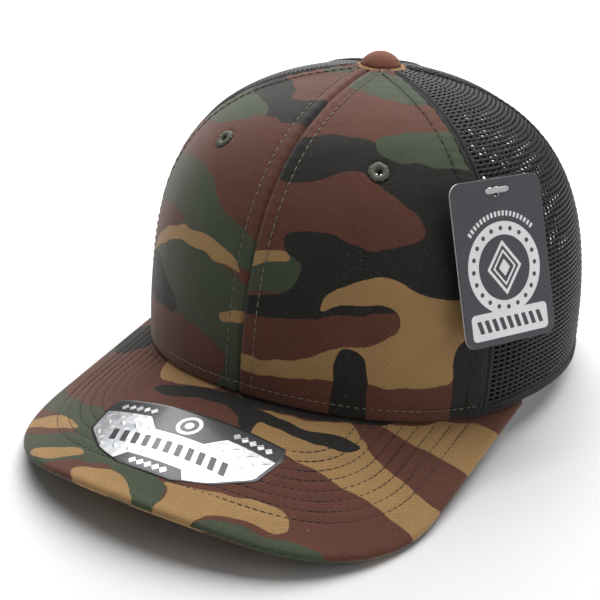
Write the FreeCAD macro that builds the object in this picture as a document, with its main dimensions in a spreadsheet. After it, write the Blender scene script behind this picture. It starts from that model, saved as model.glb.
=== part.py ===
"""Trucker cap: five-panel cloth-and-mesh crown, curved visor, snap strap, visor sticker and hang tag.

Every piece is drawn in the wearer's head frame (millimetres, +Z up, visor towards -Y, wearer's left +X)
and then given the same rest placement, which tips the cap on to the ground plane Z = 0, where it stands
on the visor's two front corners and the back of the snap strap.
"""
import FreeCAD
import Part
import Sketcher
import math
import os

Vector = FreeCAD.Vector
Rotation = FreeCAD.Rotation
Placement = FreeCAD.Placement

DIMENSIONS = [
    # head opening and crown
    ("opening_front", 95.3, "crown centre to the front of the rim"),
    ("opening_back", 98.2, "crown centre to the back of the rim"),
    ("opening_side", 85.2, "crown centre to the side of the rim"),
    ("crown_height", 115.8, "rim plane to the apex of the crown"),
    ("apex_shift", -2.0, "apex along Y"),
    ("rim_front", 8.7, "height of the visor's top face at the front of the rim"),
    ("rim_back", -2.1, "height of the rim at the back"),
    ("rim_lift", 0.65, "gap from the visor's top face up to the front panels' edge"),
    ("rise_front", 0.630, "lower handle of the meridian curve, share of the height"),
    ("rise_side", 0.630, "the same at the side"),
    ("rise_back", 0.564, "the same at the back"),
    ("spread_front", 0.748, "upper handle of the meridian curve, share of the radius"),
    ("spread_side", 0.879, "the same at the side"),
    ("spread_back", 0.626, "the same at the back"),
    ("bulge_front", 0.017, "outward lean of the lower handle, share of the radius"),
    ("bulge_side", 0.042, "the same at the side"),
    ("bulge_back", -0.029, "the same at the back"),
    ("dome_front", 0.079, "fall of the crown from the apex, per unit of radius"),
    ("dome_side", 0.090, "the same at the side"),
    ("dome_back", 0.051, "the same at the back"),
    ("seam_front", 58.1, "seam between front and side panel, degrees from the front"),
    ("seam_back", 119.0, "seam between side and rear panel, degrees from the front"),
    ("panel_top", 0.965, "where the panels stop short of the apex, share of the meridian"),
    ("seam_gap", 0.15, "gap between two panels' edges"),
    # cloth layers, depths below the crown's outer face
    ("cloth", 0.9, "cotton twill and mesh thickness"),
    ("layer_gap", 0.1, "gap between two cloth layers"),
    ("buckram", 0.7, "stiffener thickness"),
    ("stiffener_start", 1.5, "buckram's edge beside a seam, degrees"),
    ("stiffener_top", 0.9, "top edge of the buckram and the seam tapes, share of the meridian"),
    ("stiffener_foot", 0.01, "lower edge of the buckram and the seam tapes, share of the meridian"),
    ("tape", 0.7, "seam tape thickness"),
    ("tape_width", 12.0, "seam tape width"),
    ("rim_tape_height", 8.0, "height of the rim seam's tape"),
    ("rim_tape_depth", 2.6, "depth of the rim tape's outer face"),
    ("rim_tape_foot", 2.2, "height of the rim tape's lower edge"),
    ("rim_tape_end", 133.0, "end of the rim tape, degrees from the front"),
    ("band_depth", 3.8, "depth of the sweatband's outer face"),
    ("band_thickness", 1.2, "sweatband thickness"),
    ("band_swell", 1.0, "extra depth of the sweatband over the straps' sewn tails"),
    ("band_swell_start", 122.0, "where that extra depth starts, degrees from the front"),
    ("band_swell_end", 134.0, "where it is complete, degrees from the front"),
    ("band_height", 30.0, "sweatband height"),
    ("band_end", 146.0, "end of the sweatband, degrees from the front"),
    ("piping_height", 2.4, "height of the sweatband's folded top edging"),
    # half-moon opening at the back
    ("arch_half_width", 48.0, "half width of the back opening at the rim"),
    ("arch_height", 57.0, "height of the back opening above the rim"),
    ("binding_width", 7.0, "width of the opening's binding"),
    ("binding_cloth", 0.8, "thickness of one side of the binding"),
    # visor
    ("visor_length", 63.7, "front of the rim to the visor's front edge"),
    ("visor_half_width", 83.1, "half width of the visor"),
    ("visor_front_radius", 139.6, "outline radius of the visor's front"),
    ("visor_corner_radius", 59.3, "outline radius of the visor's corners"),
    ("visor_corner_angle", 73.7, "where the visor meets the rim, degrees from the front"),
    ("visor_slope", 12.34, "fall of the visor towards its front, degrees"),
    ("visor_bend", 170.0, "radius of the visor's curve across its width"),
    ("visor_cover", 0.7, "visor cloth thickness"),
    ("visor_core", 2.0, "visor board thickness"),
    ("visor_tuck", 3.0, "how far the visor reaches in under the crown"),
    # vent eyelets
    ("eyelet_angle", 28.95, "eyelet, degrees from the front"),
    ("eyelet_rise", 0.567, "eyelet, share of the meridian"),
    ("eyelet_radius", 4.25, "outer radius of the stitched ring"),
    ("eyelet_hub", 3.0, "radius of the cut hole that the thread wraps"),
    ("eyelet_bore", 1.4, "radius of the open vent"),
    ("eyelet_bead", 0.5, "height of the ring above the cloth"),
    # top button
    ("button_radius", 8.2, "button radius"),
    ("button_rise", 4.9, "button height above the apex"),
    ("button_skirt", 0.38, "how far the button's edge hangs below the apex"),
    ("button_wall", 0.8, "button shell thickness"),
    ("shank_radius", 1.6, "button shank radius"),
    ("washer_radius", 6.5, "inner washer radius"),
    ("washer_drop", 4.2, "depth of the washer's top face below the apex"),
    ("washer_thickness", 0.9, "inner washer thickness"),
    # snap strap
    ("strap_width", 19.0, "peg strap height"),
    ("strap_bottom", -1.5, "lower edge of the straps"),
    ("strap_thickness", 1.5, "strap thickness"),
    ("strap_back", 86.3, "inner face of the peg strap along Y"),
    ("strap_flat", 20.0, "half length of the straps' flat middle"),
    ("strap_depth", 3.75, "depth of the sewn tails' centreline inside the rim"),
    ("strap_tail_radius", 88.0, "centreline radius of the sewn tails"),
    ("strap_tail_end", 52.0, "direction of the tails' end, degrees from the back"),
    ("strap_clearance", 0.3, "gap between the two straps"),
    ("strap_trim", 0.5, "how much narrower the hole strap is at each edge"),
    ("peg_pitch", 8.0, "peg and hole pitch"),
    ("peg_radius", 1.9, "peg radius"),
    ("peg_height", 2.6, "peg height to the start of its tapered tip"),
    ("peg_tip", 0.6, "height of the tapered tip"),
    ("peg_tip_radius", 1.3, "radius at the end of the tip"),
    ("hole_radius", 2.4, "strap hole radius"),
    ("peg_strap_end", 5.0, "tip of the peg strap along X"),
    ("flap_end", -21.5, "tip of the hole strap along X"),
    # sticker on the visor
    ("sticker_x", -4.8, "sticker centre along X"),
    ("sticker_y", -128.0, "sticker centre along Y"),
    ("sticker_thickness", 0.2, "sticker thickness"),
    ("sticker_half_width", 38.0, "widest half width"),
    ("sticker_top_half_width", 36.0, "half width of the rear edge"),
    ("sticker_foot_half_width", 11.0, "half width of the front edge"),
    ("sticker_half_depth", 17.0, "half depth from rear edge to front edge"),
    # hang tag
    ("tag_angle", 61.05, "tag pivot, degrees from the front"),
    ("tag_rise", 0.512, "tag pivot, share of the meridian"),
    ("tag_azimuth", -25.5, "direction that the tag faces, degrees from +X towards +Y"),
    ("tag_lean", 18.3, "how far the tag faces upwards, degrees"),
    ("tag_standoff", 5.6, "tag's middle plane to the crown along the tag's normal"),
    ("tag_width", 41.6, "tag width"),
    ("tag_height", 58.7, "tag height"),
    ("tag_corner", 4.5, "tag corner radius"),
    ("tag_leaf", 0.4, "thickness of one card leaf"),
    ("tag_drop", 25.2, "slot centre down to the tag's centre"),
    ("slot_half_width", 4.4, "half width of the hang slot's bar"),
    ("slot_half_height", 1.2, "half height of the hang slot's bar"),
    ("slot_stem_half_width", 1.0, "half width of the slot's stem"),
    ("slot_stem_drop", 2.2, "bar centre down to the stem's end"),
    ("filament_radius", 0.4, "fastener filament radius"),
    ("filament_hole", 0.9, "radius of the hole that the filament passes"),
    ("bar_depth", 4.4, "fastener's cross bar below the crown's outer face"),
    ("bar_half_length", 4.5, "half length of the cross bar"),
    ("bar_radius", 0.5, "cross bar radius"),
    ("paddle_half_width", 5.4, "half width of the fastener's paddle"),
    ("paddle_height", 2.0, "height of the paddle"),
    ("paddle_thickness", 0.5, "thickness of the paddle"),
    # care label inside
    ("label_angle", 96.0, "care label, degrees from the front"),
    ("label_half_width", 9.0, "half width of the label"),
    ("label_height", 16.0, "label height"),
    ("label_thickness", 0.3, "label thickness"),
    # rest placement
    ("rest_tilt", 5.1, "how far the front is raised to stand on the ground, degrees"),
    ("rest_height", 9.31, "how far the head frame is raised"),
    ("rest_shift", 0.0, "how far the head frame is moved along Y"),
]

ROWS = 14  # grid rows of a crown panel
COLUMN_STEP = 4.5  # degrees between two grid columns of a crown panel
NORMAL_STEP = 1e-3  # step of the crown normal's differences
AIR = 0.02  # gap between two faces that lie on each other

doc = FreeCAD.newDocument("TruckerCap")
sheet = doc.addObject("Spreadsheet::Sheet", "Dimensions")
for line, (alias, number, note) in enumerate(DIMENSIONS, start=1):
    sheet.set("A%d" % line, alias)
    sheet.set("B%d" % line, str(number))
    sheet.setAlias("B%d" % line, alias)
    sheet.set("C%d" % line, note)
doc.recompute()

nodes = {}


def size(alias):
    """Value of one driving dimension."""
    return float(sheet.get(alias))


def cell(alias):
    """Expression that reads one driving dimension."""
    return "Dimensions." + alias


def rest_placement():
    """Placement that stands the head frame on the ground plane."""
    turn = Rotation(Vector(1, 0, 0), -size("rest_tilt"))
    return Placement(Vector(0, size("rest_shift"), size("rest_height")), turn)


def finish(item, label, local=None):
    """Name a sub-part and stand it on the ground with the rest of the cap."""
    item.Label = label
    item.Placement = rest_placement().multiply(local or Placement())
    nodes[label] = item
    return item


# ---------------------------------------------------------------- crown surface


def around(name, angle):
    """Crown coefficient at an angle, blended from its front, side and back values."""
    front = size(name + "_front")
    side = size(name + "_side")
    back = size(name + "_back")
    mean = (front + back) / 4 + side / 2
    swing = (front + back) / 4 - side / 2
    return mean + (front - back) / 2 * math.cos(angle) + swing * math.cos(2 * angle)


def visor_top(x, y):
    """Height of the visor's top face: a cylinder that falls towards the front."""
    bend = size("visor_bend")
    sag = bend - math.sqrt(bend * bend - x * x)
    fall = math.tan(math.radians(size("visor_slope")))
    return size("rim_front") + fall * (y + size("opening_front")) - sag


def rim_plan(angle):
    """Point of the rim's oval outline, angle in radians from the front towards +X."""
    length = size("opening_front") if math.cos(angle) > 0 else size("opening_back")
    reach = 1 / math.hypot(math.cos(angle) / length, math.sin(angle) / size("opening_side"))
    return Vector(reach * math.sin(angle), -reach * math.cos(angle), 0)


def rim_point(angle):
    """Lower edge of the crown: on the visor in front, then easing down to the back."""
    point = rim_plan(angle)
    corner = math.radians(size("visor_corner_angle"))
    turn = abs((angle + math.pi) % (2 * math.pi) - math.pi)
    if turn < corner:
        point.z = visor_top(point.x, point.y) + size("rim_lift")
        return point
    end = rim_plan(corner)
    start_height = visor_top(end.x, end.y) + size("rim_lift")
    share = (turn - corner) / (math.pi - corner)
    ease = share * share * (3 - 2 * share)
    point.z = start_height + (size("rim_back") - start_height) * ease
    return point


def crown_point(angle, rise):
    """Outer face of the crown: a cubic meridian from the rim (0) to the apex (1)."""
    base = rim_point(angle)
    apex = Vector(0, size("apex_shift"), size("crown_height"))
    spoke = Vector(base.x - apex.x, base.y - apex.y, 0)
    lower = Vector(apex.x, apex.y, 0) + spoke * (1 + around("bulge", angle))
    lower.z = base.z + around("rise", angle) * (apex.z - base.z)
    spread = around("spread", angle)
    upper = Vector(apex.x, apex.y, 0) + spoke * spread
    upper.z = apex.z - around("dome", angle) * spread * spoke.Length
    rest = 1 - rise
    near = base * rest**3 + lower * (3 * rise * rest**2)
    return near + upper * (3 * rise**2 * rest) + apex * rise**3


def crown_normal(angle, rise):
    """Outward normal of the crown."""
    step = NORMAL_STEP
    along = crown_point(angle + step, rise) - crown_point(angle - step, rise)
    up = crown_point(angle, rise + step) - crown_point(angle, rise - step)
    return along.cross(up).normalize()


def crown_layer(angle, rise, depth):
    """Point at a depth below the crown's outer face."""
    return crown_point(angle, rise) - crown_normal(angle, rise) * depth


def spoke_length(angle, rise):
    """Horizontal distance from the apex to the crown."""
    point = crown_point(angle, rise)
    return math.hypot(point.x, point.y - size("apex_shift"))


def rise_at(angle, height):
    """Share of the meridian that lies at a height above the rim."""
    low, high = 0.0, 0.6
    base = rim_point(angle).z
    for _ in range(30):
        middle = (low + high) / 2
        if crown_point(angle, middle).z - base < height:
            low = middle
        else:
            high = middle
    return low


# ---------------------------------------------------------------- curved cloth solids


def cloth_solid(route, outer, inner, columns, rows=ROWS):
    """Closed solid between two depths; route(u, v) gives the angle and rise for u and v from 0 to 1.

    A depth is a number, or a function of the angle.
    """
    sides = []
    for depth in (outer, inner):
        grid = []
        for column in range(columns + 1):
            places = [route(column / columns, row / rows) for row in range(rows + 1)]
            depths = [depth(angle) if callable(depth) else depth for angle, rise in places]
            grid.append([crown_layer(*place, below) for place, below in zip(places, depths)])
        surface = Part.BSplineSurface()
        surface.interpolate(grid)
        sides.append(surface)
    faces = [surface.toShape() for surface in sides]
    first, second = sides
    u_low, u_high, v_low, v_high = first.bounds()
    borders = [(first.uIso(u_low), second.uIso(second.bounds()[0]))]
    borders.append((first.uIso(u_high), second.uIso(second.bounds()[1])))
    borders.append((first.vIso(v_low), second.vIso(second.bounds()[2])))
    borders.append((first.vIso(v_high), second.vIso(second.bounds()[3])))
    for one, other in borders:
        faces.append(Part.makeRuledSurface(one.toShape(), other.toShape()))
    shell = Part.makeShell(faces)
    shell.sewShape()
    solid = Part.Solid(shell)
    if solid.Volume < 0:
        solid.reverse()
    return solid


def add_cloth(label, shape):
    """Document object for one curved cloth piece."""
    item = doc.addObject("Part::Feature", label)
    item.Shape = shape
    return finish(item, label)


def panel_route(start, end, top, side, foot=0.0):
    """Route of a crown panel between two seams, in degrees, with a small gap at each edge."""

    def route(u, v):
        rise = foot + (top - foot) * v
        middle = math.radians((start + end) / 2)
        edge = size("seam_gap") / 2 / max(spoke_length(middle, rise), 1.0)
        low = math.radians(start) + edge
        high = math.radians(end) - edge
        return side * (low + (high - low) * u), rise

    return route


def seam_route(angle, bottom=None):
    """Route of a seam tape of constant width along one meridian."""
    top = size("stiffener_top")
    if bottom is None:
        bottom = size("stiffener_foot")

    def route(u, v):
        rise = bottom + (top - bottom) * v
        centre = math.radians(angle)
        half = size("tape_width") / 2 / spoke_length(centre, rise)
        return centre + half * (2 * u - 1), rise

    return route


def rim_route(start, end, low, high):
    """Route of a strip that follows the rim between two heights above it."""

    def route(u, v):
        angle = math.radians(start + (end - start) * u)
        bottom = rise_at(angle, low)
        return angle, bottom + (rise_at(angle, high) - bottom) * v

    return route


def columns_for(start, end):
    """Number of columns that keeps a cloth grid fine enough."""
    return max(4, math.ceil(abs(end - start) / COLUMN_STEP))


def arch_prism(margin):
    """Half-moon prism through the back of the crown, grown by a margin."""
    half_width = size("arch_half_width") + margin
    height = size("arch_height") + margin
    near = 40.0  # where the prism starts, behind the crown's centre
    reach = 90.0
    below = 20.0
    long_end = Vector(0, height, 0)
    short_end = Vector(half_width, 0, 0)
    if height < half_width:
        long_end, short_end = short_end, long_end
    oval = Part.Ellipse(long_end, short_end, Vector(0, 0, 0))
    flat = Part.Face(Part.Wire([oval.toShape()]))
    box = Part.makeBox(2 * half_width, below, reach, Vector(-half_width, -below, 0))
    prism = flat.extrude(Vector(0, 0, reach)).fuse(box).removeSplitter()
    prism.Placement = Placement(Vector(0, near + reach, size("rim_back")), Rotation(Vector(1, 0, 0), 90))
    return prism


def normal_cylinder(angle, rise, radius, direction=None):
    """Cylinder through the cloth, along the crown's normal unless a direction is given."""
    depth = 12.0
    normal = direction or crown_normal(angle, rise)
    start = crown_point(angle, rise) - normal * depth / 2
    return Part.makeCylinder(radius, depth, start, normal)


# ---------------------------------------------------------------- hang tag placement


def tag_axes():
    """Sideways, upward and outward directions of the hang tag."""
    azimuth = math.radians(size("tag_azimuth"))
    lean = math.radians(size("tag_lean"))
    flat = Vector(math.cos(azimuth), math.sin(azimuth), 0)
    outward = flat * math.cos(lean) + Vector(0, 0, math.sin(lean))
    sideways = Vector(-math.sin(azimuth), math.cos(azimuth), 0)
    return sideways, outward.cross(sideways), outward


def tag_placement():
    """Local frame of the tag: origin in its slot, X sideways, Y up the card, Z outward."""
    sideways, upward, outward = tag_axes()
    foot = crown_point(math.radians(size("tag_angle")), size("tag_rise"))
    return Placement(foot + outward * size("tag_standoff"), Rotation(sideways, upward, outward, "ZXY"))


# ---------------------------------------------------------------- crown pieces

LEFT = 1
RIGHT = -1
SIDES = (("left", LEFT), ("right", RIGHT))


def make_front_panels():
    """Two cloth panels and their buckram stiffeners, pierced for the vent eyelets."""
    cloth = size("cloth")
    inner_start = cloth + size("layer_gap")
    end = size("seam_front")
    stiff_start = size("stiffener_start")
    stiff_top = size("stiffener_top")
    for name, side in SIDES:
        hole = normal_cylinder(
            side * math.radians(size("eyelet_angle")), size("eyelet_rise"), size("eyelet_hub")
        )
        panel = cloth_solid(panel_route(0, end, size("panel_top"), side), 0, cloth, columns_for(0, end))
        add_cloth("front_panel_" + name, panel.cut(hole))
        route = panel_route(stiff_start, end - stiff_start, stiff_top, side, size("stiffener_foot"))
        stiffener = cloth_solid(route, inner_start, inner_start + size("buckram"), columns_for(0, end))
        add_cloth("front_stiffener_" + name, stiffener.cut(hole))


def make_mesh_panels():
    """Side and rear mesh panels; the rear pair leaves the half-moon opening between them."""
    cloth = size("cloth")
    front = size("seam_front")
    back = size("seam_back")
    top = size("panel_top")
    opening = arch_prism(0)
    for name, side in SIDES:
        panel = cloth_solid(panel_route(front, back, top, side), 0, cloth, columns_for(front, back))
        if side == LEFT:
            panel = panel.cut(filament_hole())
        add_cloth("side_mesh_" + name, panel)
        rear = cloth_solid(panel_route(back, 180, top, side), 0, cloth, columns_for(back, 180))
        add_cloth("rear_mesh_" + name, rear.cut(opening))


def filament_hole():
    """Hole that the tag's filament makes through mesh and seam tape."""
    outward = tag_axes()[2]
    angle = math.radians(size("tag_angle"))
    return normal_cylinder(angle, size("tag_rise"), size("filament_hole"), outward)


def make_seam_tapes():
    """Cotton tapes over the inside of every crown seam."""
    thin = size("cloth") + size("layer_gap")
    thick = thin + size("buckram") + size("layer_gap")
    tape = size("tape")
    across = 4
    front = cloth_solid(seam_route(0), thick, thick + tape, across)
    add_cloth("front_seam_tape", front)
    for name, side in SIDES:
        route = seam_route(side * size("seam_front"))
        strip = cloth_solid(route, thick, thick + tape, across)
        if side == LEFT:
            strip = strip.cut(filament_hole())
        add_cloth("side_seam_tape_" + name, strip)
        route = seam_route(side * size("seam_back"))
        add_cloth("rear_side_seam_tape_" + name, cloth_solid(route, thin, thin + tape, across))
    low = rise_at(math.pi, size("arch_height") + size("binding_width") + 1)
    rear = cloth_solid(seam_route(180, low), thin, thin + tape, across)
    add_cloth("rear_centre_seam_tape", rear)


def make_opening_binding():
    """Folded tape round the half-moon opening, with the mesh panels' edge in its fold."""
    fold = size("binding_cloth")
    cloth = size("cloth")
    gap = 0.05
    start = 132
    end = 228
    low_rise = 0.02
    high_rise = rise_at(math.pi, size("arch_height") + size("binding_width") + 6)

    def route(u, v):
        angle = math.radians(start + (end - start) * u)
        return angle, low_rise + (high_rise - low_rise) * v

    columns = columns_for(start, end)
    thick = cloth_solid(route, -fold, cloth + fold, columns)
    filling = cloth_solid(route, -gap, cloth + gap, columns)
    ring = thick.common(arch_prism(size("binding_width"))).cut(arch_prism(-fold))
    slot = filling.cut(arch_prism(-gap))
    add_cloth("opening_binding", ring.cut(slot))


def band_face(below):
    """Depth of a sweatband face at an angle: it swells inwards over the straps' sewn tails."""

    def depth(angle):
        turn = abs(math.degrees(angle))
        share = (turn - size("band_swell_start")) / (size("band_swell_end") - size("band_swell_start"))
        share = min(max(share, 0.0), 1.0)
        return size("band_depth") + below + size("band_swell") * share * share * (3 - 2 * share)

    return depth


def make_rim_and_band():
    """Rim seam tape, sweatband, its edging and the care label."""
    end = size("band_end")
    depth = size("rim_tape_depth")
    for name, side in SIDES:
        start = side * (size("seam_front") + 6)
        route = rim_route(start, side * size("rim_tape_end"), size("rim_tape_foot"), size("rim_tape_height"))
        add_cloth("rim_tape_" + name, cloth_solid(route, depth, depth + size("tape"), 18, 3))
    thickness = size("band_thickness")
    wrap = size("layer_gap")
    columns = columns_for(-end, end)
    top = size("band_height")
    band = cloth_solid(rim_route(-end, end, 0.8, top), band_face(0), band_face(thickness), columns, 6)
    add_cloth("sweatband", band)
    route = rim_route(-end, end, top + wrap, top + wrap + size("piping_height"))
    proud = 0.3
    edging = cloth_solid(route, band_face(-proud), band_face(thickness + proud), columns, 3)
    add_cloth("sweatband_edging", edging)
    spread = math.degrees(size("label_half_width") / size("opening_side"))
    centre = size("label_angle")
    low = 6.0
    route = rim_route(centre - spread, centre + spread, low, low + size("label_height"))
    label_depth = size("band_depth") + thickness + wrap
    label = cloth_solid(route, label_depth, label_depth + size("label_thickness"), 6, 4)
    add_cloth("care_label", label)


# ---------------------------------------------------------------- sketch helpers


def new_body(name):
    """Empty PartDesign body."""
    return doc.addObject("PartDesign::Body", name)


def new_sketch(body, name, role):
    """Sketch on one of the body's own origin planes."""
    sketch = body.newObject("Sketcher::SketchObject", name)
    plane = [item for item in body.Origin.OriginFeatures if item.Role == role][0]
    sketch.AttachmentSupport = [(plane, "")]
    sketch.MapMode = "FlatFace"
    return sketch


def bind_point(sketch, geometry, corner, x, y):
    """Tie a sketch point to two sheet expressions measured from the sketch's origin."""
    for kind, expression in (("DistanceX", x), ("DistanceY", y)):
        value = float(sketch.evalExpression(expression))
        index = sketch.addConstraint(Sketcher.Constraint(kind, -1, 1, geometry, corner, value))
        sketch.setExpression("Constraints[%d]" % index, expression)


def draw_polygon(sketch, corners):
    """Closed polygon whose corners are pairs of sheet expressions."""
    points = []
    for x, y in corners:
        points.append(Vector(float(sketch.evalExpression(x)), float(sketch.evalExpression(y)), 0))
    count = len(points)
    for index in range(count):
        sketch.addGeometry(Part.LineSegment(points[index], points[(index + 1) % count]))
    for index in range(count):
        sketch.addConstraint(Sketcher.Constraint("Coincident", index, 2, (index + 1) % count, 1))
    for index, (x, y) in enumerate(corners):
        bind_point(sketch, index, 1, x, y)


def draw_circle(sketch, x, y, radius):
    """Circle whose centre and radius are sheet expressions."""
    centre = Vector(float(sketch.evalExpression(x)), float(sketch.evalExpression(y)), 0)
    value = float(sketch.evalExpression(radius))
    circle = sketch.addGeometry(Part.Circle(centre, Vector(0, 0, 1), value))
    bind_point(sketch, circle, 3, x, y)
    index = sketch.addConstraint(Sketcher.Constraint("Radius", circle, value))
    sketch.setExpression("Constraints[%d]" % index, radius)


def draw_path(sketch, edges):
    """Closed outline of lines and arcs already worked out from the sheet."""
    for edge in edges:
        index = sketch.addGeometry(edge)
        sketch.addConstraint(Sketcher.Constraint("Block", index))


def add_pad(body, sketch, expression):
    """Pad a sketch by a sheet expression."""
    pad = body.newObject("PartDesign::Pad", "Pad")
    pad.Profile = sketch
    pad.Length = float(sketch.evalExpression(expression))
    pad.setExpression("Length", expression)
    sketch.Visibility = False
    return pad


def add_revolution(body, sketch):
    """Turn a profile once round the sketch's vertical axis."""
    turn = body.newObject("PartDesign::Revolution", "Revolution")
    turn.Profile = sketch
    turn.ReferenceAxis = (sketch, ["V_Axis"])
    turn.Angle = 360
    return turn


# ---------------------------------------------------------------- visor


def arc(centre, radius, start, end):
    """Arc of a circle in the XY plane, angles in radians, counter-clockwise."""
    circle = Part.Circle(centre, Vector(0, 0, 1), radius)
    return Part.ArcOfCircle(circle, start, end)


def visor_outline(inset):
    """Outline of the visor: front arc, two corner arcs, straight sides and a straight back."""
    front_radius = size("visor_front_radius") - inset
    corner_radius = size("visor_corner_radius") - inset
    half_width = size("visor_half_width") - inset
    centre_y = -size("opening_front") - size("visor_length") + size("visor_front_radius")
    corner_x = half_width - corner_radius
    corner_y = centre_y - math.sqrt((front_radius - corner_radius) ** 2 - corner_x**2)
    meet = math.atan2(corner_y - centre_y, corner_x)
    end = rim_plan(math.radians(size("visor_corner_angle")))
    end_x = end.x - inset
    back = end.y
    right = Vector(half_width, corner_y, 0)
    left = Vector(-half_width, corner_y, 0)
    edges = [arc(Vector(0, centre_y, 0), front_radius, -math.pi - meet, meet)]
    edges.append(arc(Vector(corner_x, corner_y, 0), corner_radius, meet, 0))
    edges.append(Part.LineSegment(right, Vector(end_x, back, 0)))
    edges.append(Part.LineSegment(Vector(end_x, back, 0), Vector(-end_x, back, 0)))
    edges.append(Part.LineSegment(Vector(-end_x, back, 0), left))
    edges.append(arc(Vector(-corner_x, corner_y, 0), corner_radius, -math.pi, -math.pi - meet))
    return edges


def make_prism(name, edges):
    """Upright prism over an outline in the XY plane."""
    body = new_body(name)
    sketch = new_sketch(body, name + "Sketch", "XY_Plane")
    draw_path(sketch, edges)
    pad = body.newObject("PartDesign::Pad", "Pad")
    pad.Profile = sketch
    pad.Midplane = True
    pad.setExpression("Length", cell("crown_height") + " * 2")
    return body


def make_slab(name, top, bottom):
    """Bent slab between two depths, given as expressions below the visor's top face."""
    sketch = doc.addObject("Sketcher::SketchObject", name + "Profile")
    bend = size("visor_bend")
    reach = size("visor_half_width") + 4
    height = size("rim_front") - bend
    high = bend - float(sheet.evalExpression(top))
    low = bend - float(sheet.evalExpression(bottom))
    upper_start = math.acos(reach / high)
    lower_start = math.acos(reach / low)
    centre = Vector(0, height, 0)
    upper = arc(centre, high, upper_start, math.pi - upper_start)
    lower = arc(centre, low, lower_start, math.pi - lower_start)
    draw_path(sketch, [upper, Part.LineSegment(upper.EndPoint, lower.EndPoint)])
    draw_path(sketch, [lower, Part.LineSegment(lower.StartPoint, upper.StartPoint)])
    start = Vector(0, -size("opening_front"), 0)
    sketch.Placement = Placement(start, Rotation(Vector(1, 0, 0), 90))
    fall = math.tan(math.radians(size("visor_slope")))
    slab = doc.addObject("Part::Extrusion", name)
    slab.Base = sketch
    slab.DirMode = "Custom"
    slab.Dir = Vector(0, -1, -fall)
    slab.LengthFwd = size("visor_length") * 1.5
    slab.LengthRev = size("opening_front")
    slab.Solid = True
    return slab


def boolean(kind, name, base, tool):
    """Boolean of two document objects."""
    item = doc.addObject("Part::" + kind, name)
    item.Base = base
    item.Tool = tool
    return item


def make_visor():
    """Board between two cloth covers that wrap its edge and meet half way down."""
    cover = cell("visor_cover")
    core = cell("visor_core")
    middle = "%s + %s / 2" % (cover, core)
    total = "2 * %s + %s" % (cover, core)
    head = make_prism("HeadClearance", rim_oval(size("visor_tuck")))
    outside = make_prism("VisorOutline", visor_outline(0))
    inside = make_prism("BoardOutline", visor_outline(size("visor_cover") + 0.05))
    board_slab = make_slab("BoardSlab", cover, "%s + %s" % (cover, core))
    board = boolean("Common", "BoardCommon", inside, board_slab)
    finish(boolean("Cut", "VisorBoard", board, head), "visor_board")
    roomy = make_slab("CoreSpace", "%s - %g" % (cover, AIR), "%s + %s + %g" % (cover, core, AIR))
    space = boolean("Common", "CoreRoom", inside, roomy)
    layers = (("top", "0", middle), ("under", "%s + %g" % (middle, AIR), total))
    for name, high, low in layers:
        slab = make_slab(name.capitalize() + "CoverSlab", high, low)
        skin = boolean("Common", name.capitalize() + "CoverCommon", outside, slab)
        hollow = boolean("Cut", name.capitalize() + "CoverHollow", skin, space)
        trimmed = boolean("Cut", name.capitalize() + "Cover", hollow, head)
        finish(trimmed, "visor_%s_cover" % name)


def rim_oval(inset):
    """Front and back half of the rim's oval, drawn inside it by an inset."""
    half_width = size("opening_side") - inset
    edges = []
    for length, start, end in (
        (size("opening_front") - inset, math.pi, 2 * math.pi),
        (size("opening_back") - inset, 0, math.pi),
    ):
        oval = Part.Ellipse(Vector(0, length, 0), Vector(half_width, 0, 0), Vector(0, 0, 0))
        quarter = math.pi / 2
        edges.append(Part.ArcOfEllipse(oval, start - quarter, end - quarter))
    return edges


def make_sticker():
    """Thin badge-shaped sticker that follows the visor's top face."""
    body = new_body("StickerOutline")
    sketch = new_sketch(body, "StickerSketch", "XY_Plane")
    x = cell("sticker_x")
    y = cell("sticker_y")
    wide = cell("sticker_half_width")
    rear = cell("sticker_top_half_width")
    foot = cell("sticker_foot_half_width")
    deep = cell("sticker_half_depth")
    corners = []
    for sign in ("+", "-"):
        half = [
            (rear, "%s + %s" % (y, deep)),
            (wide, "%s + %s * 0.72" % (y, deep)),
            (rear, "%s - %s * 0.1" % (y, deep)),
            ("%s * 0.66" % rear, "%s - %s * 0.72" % (y, deep)),
            (foot, "%s - %s" % (y, deep)),
        ]
        side = [("%s %s %s" % (x, sign, across), along) for across, along in half]
        corners += side if sign == "+" else side[::-1]
    draw_polygon(sketch, corners)
    pad = body.newObject("PartDesign::Pad", "Pad")
    pad.Profile = sketch
    pad.Midplane = True
    pad.setExpression("Length", cell("crown_height") + " * 2")
    slab = make_slab("StickerSlab", "-%g - %s" % (AIR, cell("sticker_thickness")), "-%g" % AIR)
    finish(boolean("Common", "Sticker", body, slab), "visor_sticker")


# ---------------------------------------------------------------- turned pieces


def make_eyelets():
    """Stitched rings: a low bead on the cloth and a hub that lines the hole."""
    bore = cell("eyelet_bore")
    hub = "%s - 0.05" % cell("eyelet_hub")
    rim = cell("eyelet_radius")
    bead = cell("eyelet_bead")
    back = "-(%s + %s + %s + 0.1)" % (cell("cloth"), cell("buckram"), cell("layer_gap"))
    for name, side in SIDES:
        body = new_body("Eyelet" + name.capitalize())
        sketch = new_sketch(body, "EyeletProfile", "XZ_Plane")
        corners = [
            (bore, back),
            (hub, back),
            (hub, "0.1"),
            (rim, "0.1"),
            ("%s - 0.4" % rim, bead),
            ("%s + 0.3" % bore, bead),
            (bore, "%s / 2" % bead),
        ]
        draw_polygon(sketch, corners)
        add_revolution(body, sketch)
        angle = side * math.radians(size("eyelet_angle"))
        rise = size("eyelet_rise")
        turn = Rotation(Vector(0, 0, 1), crown_normal(angle, rise))
        finish(body, "eyelet_" + name, Placement(crown_point(angle, rise), turn))


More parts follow.
